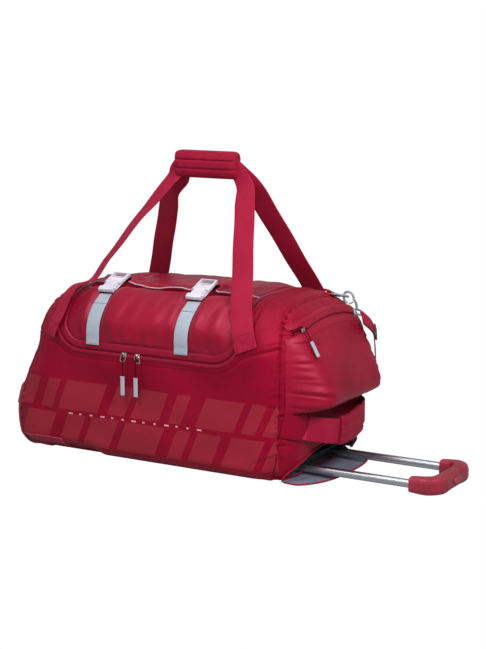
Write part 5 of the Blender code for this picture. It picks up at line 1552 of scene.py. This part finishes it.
# ---------------------------------------------------------------- tow handle's pocket
def build_handle_pocket():
    """Binding, lining, facing and flap of the arched mouth low on the right end."""
    angle = np.linspace(0.0, pi, 120)
    y, z = 0.1452 * np.cos(angle), MOUTH_Z + 0.0498 * np.sin(angle)
    edge_z = np.maximum(z, 0.0088)
    tube("handle_pocket_binding", end_point(y, edge_z, 0.0006), 0.0024, "binding", seg=10,
         side=(1, 0, 0))
    row_y = 0.1510 * np.cos(angle)
    stitch("bag", end_point(row_y, 0.0090 + 0.0555 * np.sin(angle), 0.0010)[8:-8],
           end_normal(row_y)[8:-8])
    mouth_x, inner_x = end_x(y, edge_z) - 0.0016, 0.2630
    rows = [np.stack([np.minimum(mouth_x + (inner_x - mouth_x) * k, mouth_x),
                      y * (1 - 0.02 * k),
                      MOUTH_Z + (z - MOUTH_Z) * (1 - 0.05 * k)
                      - 0.0008 * np.sin(k * 9 + y * 60)], -1) for k in np.linspace(0, 1, 10)]
    sheet("handle_pocket_lining", np.array(rows), 0.0010, "lining", centre=(0.27, 0, 0.02))

    angle = np.linspace(0.62, pi - 0.34, 100)
    rows = []
    for scale, off_x in ((1.0, 0.0010), (0.975, -0.0004), (0.93, -0.0028), (0.885, -0.0046),
                         (0.865, -0.0064)):
        y = 0.1440 * np.cos(angle) * scale
        z = MOUTH_Z + 0.0488 * np.sin(angle) * (scale - 0.05 * (1 - scale))
        x = end_x(y, np.maximum(z, 0.0088)) + off_x + 0.0006 * np.sin(angle * 17)
        rows.append(np.stack([x, y, z], -1))
    sheet("handle_pocket_facing", np.stack(rows, 1), 0.0010, "lining", centre=END_CENTRE)

    flap_y = np.linspace(-0.1425, 0.1405, 90)
    bow = np.maximum(0.0, 1 - np.abs(flap_y / 0.1440) ** 2.8) ** (1 / 1.9)
    flap_x = 0.2620 + 0.064 * bow
    out, y = np.meshgrid(np.linspace(0, 1, 26), flap_y, indexing="ij")
    x = 0.2500 + (flap_x[None] - 0.2500) * out
    z = (0.0026 + 0.0030 * (1 - out) ** 2
         + 0.0007 * (1 + noise_at(x * 40, y * 26)) * np.sin(out * pi))
    sheet("garage_flap_cloth", np.stack([x, y, z], -1), 0.0016, "lining", "garage_flap",
          centre=(0.29, 0, -1), inner="nylon_end", replaces="garage_flap", slot="nylon")
    rim = np.stack([flap_x, flap_y, 0.0022 + 0 * flap_y], -1)
    rim = np.concatenate([[[0.2560, flap_y[0], 0.0040]], rim, [[0.2560, flap_y[-1], 0.0040]]])
    tube("garage_flap_binding", spline(rim[::2], 160), 0.0018, "binding", "garage_flap")


# ---------------------------------------------------------------- panel under the bag
def build_belly_panel():
    left, right, half = -0.254, 0.124, 0.136
    x, k = np.meshgrid(np.linspace(left, right, 60), np.linspace(-1, 1, 50), indexing="ij")
    y = k * (half - 0.018 * ease(-x, 0.20, 0.255) - 0.018 * ease(x, 0.075, 0.125))
    inset = np.minimum(np.minimum(x - left, right - x), (1 - np.abs(k)) * half)
    z = (0.0006 + 0.0026 * (1 - ease(inset, 0.0, 0.012))
         + 0.0003 * (1 + noise_at(x * 30, y * 30)))
    sheet("belly_panel", np.stack([x, y, z], -1), 0.0020, "nylon_lid", centre=(-0.06, 0, 1.0),
          replaces="belly_pad", slot="nylon")


# ---------------------------------------------------------------- guards at the wheel corners
GUARD_CENTRE = (0, 0, 0.1)


def corner_share(degrees):
    """Share reached after an angle round the left end's upright corner."""
    return PLAN_RADIUS * (1 - np.cos(np.radians(degrees))) / LENGTH


def corner_grid(shares, climbs, side):
    share, climb = np.meshgrid(shares, climbs, indexing="ij")
    points = body_point(share, climb / 2)
    points[..., 1] = np.abs(points[..., 1]) * side
    return points


def build_corner_guard(name, side):
    """Moulded wall round the corner, cut out where the wheel sits."""
    degrees = np.linspace(0, 57, 40)
    wall_end = 0.3 + 0.3 * (0.125 - 0.0345) / (0.205 - 0.0345)
    climbs = np.concatenate([np.linspace(0.205, 0.3, 12), np.linspace(0.3, wall_end, 40)[1:]])
    points = corner_grid(corner_share(degrees), climbs, side)
    y, z = points[..., 1], points[..., 2]
    # clean edges along the wheel's slot
    edge_y, edge_z = 0.1537, 0.0890
    y[(np.abs(np.abs(y) - edge_y) < 0.0011) & (z < 0.092)] = side * edge_y
    z[(np.abs(z - edge_z) < 0.0018) & (np.abs(y) < edge_y + 0.001)] = edge_z
    bulge = 0.0008 * bell(z - 0.121, 0.0035) + 0.0008 * bell(degrees[:, None] - 55.0, 2.2)
    outer = points + outward_normals(points, GUARD_CENTRE) * (0.0024 + bulge)[..., None]
    cut = (np.abs(y) < edge_y - 0.0002) & (z < edge_z - 0.0002)
    faces = quads(*y.shape)
    faces = faces[~cut.reshape(-1)[faces].any(1)]
    ob = make("corner_guard_" + name, outer, faces, "guard")
    work = bmesh.new()
    work.from_mesh(ob.data)
    drop_loose(work)
    bmesh.ops.recalc_face_normals(work, faces=work.faces[:])
    work.to_mesh(ob.data)
    work.free()
    face = ob.data.polygons[len(ob.data.polygons) // 2]
    if face.normal.dot(face.center - Vector((0, 0, face.center.z))) < 0:
        ob.data.flip_normals()
    wall = ob.modifiers.new("wall", "SOLIDIFY")
    wall.thickness, wall.offset = 0.0020, -1.0
    add_bevel(ob, 0.0006, 50)
    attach(ob, "bag")


def build_corner_skid(name, side):
    """Strip along the foot, inward from the guard."""
    end_at = -0.236
    points = corner_grid(np.linspace(corner_share(56), float(share_at_x(end_at, 0.12)), 60),
                         np.linspace(0.212, 0.283, 16), side)
    points[..., 2] += corner_lift(points)
    thick = 0.0014 + 0.0010 * np.clip((end_at - points[..., 0]) / 0.004, 0, 1)
    sheet("corner_skid_" + name,
          points + outward_normals(points, GUARD_CENTRE) * thick[..., None], 0.0022, "guard",
          centre=GUARD_CENTRE)


def build_wheel_corners():
    for name, side in (("front", -1), ("rear", 1)):
        build_corner_guard(name, side)
        build_corner_skid(name, side)
        cad("wheel_housing_" + name, "guard", 0.0008)


# ---------------------------------------------------------------- ring tabs
TAB_LINE = [            # out along the skin, up off it: the tab's fold round its ring
    (-0.0225, 0.0034), (-0.012, 0.0032), (-0.002, 0.0032), (0.0042, 0.0036), (0.0062, 0.0064),
    (0.0042, 0.0088), (-0.001, 0.0078), (-0.010, 0.0056), (-0.0225, 0.0050)]


def skin_frame(x, y):
    """Matrix at a place on the dome (outwards along x, across, up), then across and up."""
    turn = float(turn_at_y(y))
    base = Vector(on_skin(x, turn, 0.0))
    up = (Vector(on_skin(x, turn, 0.01)) - base).normalized()
    out = Vector((1 if x > 0 else -1, 0, 0))
    out = (out - up * out.dot(up)).normalized()
    across = up.cross(out).normalized()
    turned = Matrix((out, across, up)).transposed().to_4x4()
    return Matrix.Translation(base) @ turned, across, up


def build_ring_tabs():
    """Returns where the shoulder strap hangs from each snap hook."""
    hooks = {}
    for end, x, y in (("right", 0.238, 0.098), ("left", -0.283, 0.114)):
        frame, across, up = skin_frame(x, y)
        line = [tuple(frame @ Vector((out, 0, high))) for out, high in TAB_LINE]
        tape("ring_tab_web_" + end, spline(line, 60), tuple(across), 0.0130, 0.0006, "web",
             replaces="ring_tab_" + end, slot="webbing")
        for out, high in ((-0.019, 0.0058), (-0.007, 0.0064)):
            row = [tuple(frame @ Vector((out, float(off), high)))
                   for off in np.linspace(-0.011, 0.011, 14)]
            stitch("bag", row, tuple(up), pitch=0.003)
        hook = (frame @ Matrix.Translation((0.0300, 0, 0.0140))
                @ Matrix.Rotation(math.radians(24), 4, "Y"))
        hooks[end] = hook @ Vector((0.0400, 0, -0.0020))
        cad("d_ring_" + end, "hardware", 0.0003)
        cad("snap_hook_" + end, "hardware", 0.0003)
        cad("hook_gate_" + end, "hardware")
    return hooks


# ---------------------------------------------------------------- shoulder strap
STRAP_WAY = [           # stations between the hooks, right to left round the rear
    (0.3055, 0.128, 0.262), (0.3040, 0.143, 0.225), (0.290, 0.171, 0.180),
    (0.252, 0.188, 0.138), (0.196, 0.1890, 0.104), (0.120, 0.1880, 0.078),
    (0.040, 0.1880, 0.068), (-0.040, 0.1880, 0.068), (-0.120, 0.1880, 0.080),
    (-0.205, 0.1880, 0.104), (-0.284, 0.1900, 0.142), (-0.350, 0.172, 0.192),
    (-0.354, 0.136, 0.240)]
STRAP_STEPS = 12


def strap_path(hooks):
    way = [hooks["right"] + Vector((0.0065, 0.004, -0.006)), *map(Vector, STRAP_WAY),
           hooks["left"] + Vector((-0.0085, 0.004, -0.010))]
    path = []
    for i in range(len(way) - 1):
        p0, p1, p2, p3 = way[max(i - 1, 0)], way[i], way[i + 1], way[min(i + 2, len(way) - 1)]
        for j in range(STRAP_STEPS):
            k = j / STRAP_STEPS
            path.append(0.5 * ((2 * p1) + (p2 - p0) * k + (2 * p0 - 5 * p1 + 4 * p2 - p3) * k * k
                               + (3 * p1 - p0 - 3 * p2 + p3) * k ** 3))
    path.append(way[-1])
    return np.array([tuple(point) for point in path])


def strap_axes(path):
    """Across and out along the strap, evened out so that it twists gently."""
    tangent = unit(np.gradient(path, axis=0))

    def square(vectors):
        return unit(vectors - tangent * (vectors * tangent).sum(1, keepdims=True))
    x = path[:, 0]
    out = np.stack([np.where(np.abs(x) > 0.24, x / 0.30, 0), 1 + 0 * x, 0 * x], -1)
    from_end = np.minimum(np.arange(len(x)), np.arange(len(x))[::-1])
    for limit, lean in ((48, (0.45, 0.1)), (12, (0.1, 0.5))):
        near = from_end < limit
        out[near, 0] = np.sign(x[near])
        out[near, 1:] = lean
    across = unit(np.cross(tangent, square(out)))
    for _ in range(60):
        before, after = np.roll(across, 1, 0), np.roll(across, -1, 0)
        before[0], after[-1] = across[0], across[-1]
        across = square(unit(before + after + 2 * across))
    return tangent, across, unit(np.cross(across, tangent))


def build_strap_end(tag, curve, tangent, across, out, stitch_at, ring_at):
    """The folded end of the strap, a row of stitches and the adjuster's ring."""
    tape("shoulder_fold_" + tag, curve + out * 0.0021, across, 0.0148, 0.0008, "web")
    i, j = stitch_at, ring_at
    stitch("bag", curve[i] + across[i] * np.linspace(-0.012, 0.012, 16)[:, None]
           + out[i] * 0.0031, out[i], pitch=0.003)
    axes = Matrix((Vector(across[j]), Vector(tangent[j]), Vector(out[j])))
    frame = (Matrix.Translation(Vector(curve[j]) + Vector(out[j]) * 0.0010)
             @ axes.transposed().to_4x4())
    corners = [(-0.0190, -0.0070), (0.0190, -0.0070), (0.0190, 0.0070), (-0.0190, 0.0070)]
    points = [tuple(frame @ Vector((x0 + (x1 - x0) * k, y0 + (y1 - y0) * k, 0.0026)))
              for (x0, y0), (x1, y1) in zip(corners, corners[1:] + corners[:1])
              for k in np.linspace(0.08, 0.92, 6)]
    tube("strap_adjuster_" + tag, points, 0.0019, "black", closed=True, side=tuple(out[j]))


def build_shoulder_strap(hooks):
    path = strap_path(hooks)
    tangent, across, out = strap_axes(path)
    tape("shoulder_webbing", path, across, 0.0150, 0.0009, "web", replaces="shoulder_strap",
         slot="webbing")
    for tag, part, stitch_at, ring_at in (("right", slice(0, 16), 11, 15),
                                          ("left", slice(-16, None), 4, 0)):
        build_strap_end(tag, path[part], tangent[part], across[part], out[part], stitch_at,
                        ring_at)
    part = slice(6 * STRAP_STEPS, 6 * STRAP_STEPS + 29)
    curve = path[part] + np.array([0, 0.0002, 0])
    k = np.linspace(0, 1, len(curve))
    fill = 0.72 + 0.28 * rounded(np.clip(np.minimum(k, 1 - k) / 0.05, 0, 1))
    padded_sleeve("shoulder_pad_cloth", curve, across[part], out[part], "nylon_lid", fill,
                  steps=56, square=0.5, half_width=0.0268, half_thick=0.0073, taper=0.6,
                  grooves=(0.0150, -0.0150), groove_width=0.0016, groove_depth=0.25,
                  replaces="shoulder_pad", slot="nylon")


# ---------------------------------------------------------------- hard parts in their CAD shape
def finish_hard_parts():
    for side in ("front", "rear"):
        for node, material, bevel in (
                ("wheel_tyre_", "rubber", 0.0006), ("wheel_hub_", "black", 0.0004),
                ("wheel_bearing_", "steel", None), ("wheel_axle_", "steel", None),
                ("outer_tube_", "alu", None), ("inner_tube_", "alu", None),
                ("release_rod_", "steel", None)):
            cad(node + side, material, bevel)
    for node, material, bevel in (
            ("tube_bracket", "black", 0.001), ("handle_collar", "black", 0.001),
            ("base_board", "board", 0.0004), ("tow_grip", "grip", 0.0005),
            ("push_button", "button", 0.0005)):
        cad(node, material, bevel)


# ---------------------------------------------------------------- light, backdrop, camera
def aim(ob, target):
    ob.rotation_euler = (Vector(target) - ob.location).to_track_quat("-Z", "Y").to_euler()
    bpy.context.scene.collection.objects.link(ob)


def area_light(name, place, target, size, power, colour=(1, 1, 1)):
    light = bpy.data.lights.new(name, "AREA")
    light.shape, light.size, light.energy, light.color = "DISK", size, power, colour
    ob = bpy.data.objects.new(name, light)
    ob.location = place
    aim(ob, target)
    return ob


def set_world():
    """Cool grey light all round, pure white to the camera."""
    world = bpy.data.worlds.new("sky")
    bpy.context.scene.world = world
    world.use_nodes = True
    nodes, links = world.node_tree.nodes, world.node_tree.links
    sky, white = nodes["Background"], nodes.new("ShaderNodeBackground")
    for node, colour, strength in ((sky, (0.93, 0.95, 1.0, 1), 0.37),
                                   (white, (1, 1, 1, 1), 1.0)):
        node.inputs["Color"].default_value = colour
        node.inputs["Strength"].default_value = strength
    rays = nodes.new("ShaderNodeLightPath")
    mix = nodes.new("ShaderNodeMixShader")
    links.new(rays.outputs["Is Camera Ray"], mix.inputs[0])
    links.new(sky.outputs[0], mix.inputs[1])
    links.new(white.outputs[0], mix.inputs[2])
    links.new(mix.outputs[0], nodes["World Output"].inputs["Surface"])


def set_stage():
    key = area_light("key", (2.1, -1.0, 2.0), (0.05, 0, 0.2), size=0.8, power=55,
                     colour=(1.0, 0.985, 0.97))
    fill = area_light("fill", (-1.4, -2.4, 1.0), (0.0, 0, 0.2), size=1.8, power=3,
                      colour=(0.95, 0.97, 1.0))
    top = area_light("top", (-0.2, -0.2, 2.4), (0.0, 0, 0.2), size=1.2, power=9)
    brow = area_light("brow", (-0.1, -1.6, 2.35), (0.0, 0, 0.25), size=0.9, power=27.5,
                      colour=(1.0, 0.99, 0.98))
    near = area_light("near", (0.75, -1.15, 0.80), (0.15, -0.1, 0.25), size=0.45, power=3.0,
                      colour=(1.0, 0.98, 0.98))
    bpy.ops.mesh.primitive_plane_add(size=14, location=(0, 0, -0.0008))
    floor = bpy.context.object
    floor.name = "backdrop"
    matt = bpy.data.materials.new("backdrop_white")
    matt.use_nodes = True
    inputs = matt.node_tree.nodes["Principled BSDF"].inputs
    inputs["Base Color"].default_value = (0.34, 0.34, 0.34, 1)
    inputs["Roughness"].default_value = 0.9
    floor.data.materials.append(matt)
    floor.visible_camera = False


def set_camera():
    lens = bpy.data.cameras.new("camera")
    lens.lens, lens.sensor_width = 88.47, 36
    camera = bpy.data.objects.new("camera", lens)
    camera.location = (1.6755, -2.6857, 0.8349)
    aim(camera, (0.0821, 0, 0.2691))
    scene = bpy.context.scene
    scene.camera = camera
    scene.view_settings.view_transform = "Standard"
    scene.view_settings.look = "None"


build_body_fabric()
build_end_piping()
build_lid_fabric()
build_main_zip()
build_reflective_piping()
build_lid_straps()
build_sliders()
build_carry_webbing()
build_grip_wraps()
build_pocket_zip(build_end_pocket())
build_grab_handle()
build_handle_pocket()
build_belly_panel()
build_wheel_corners()
build_shoulder_strap(build_ring_tabs())
finish_hard_parts()
sew_stitches()
set_world()
set_stage()
set_camera()
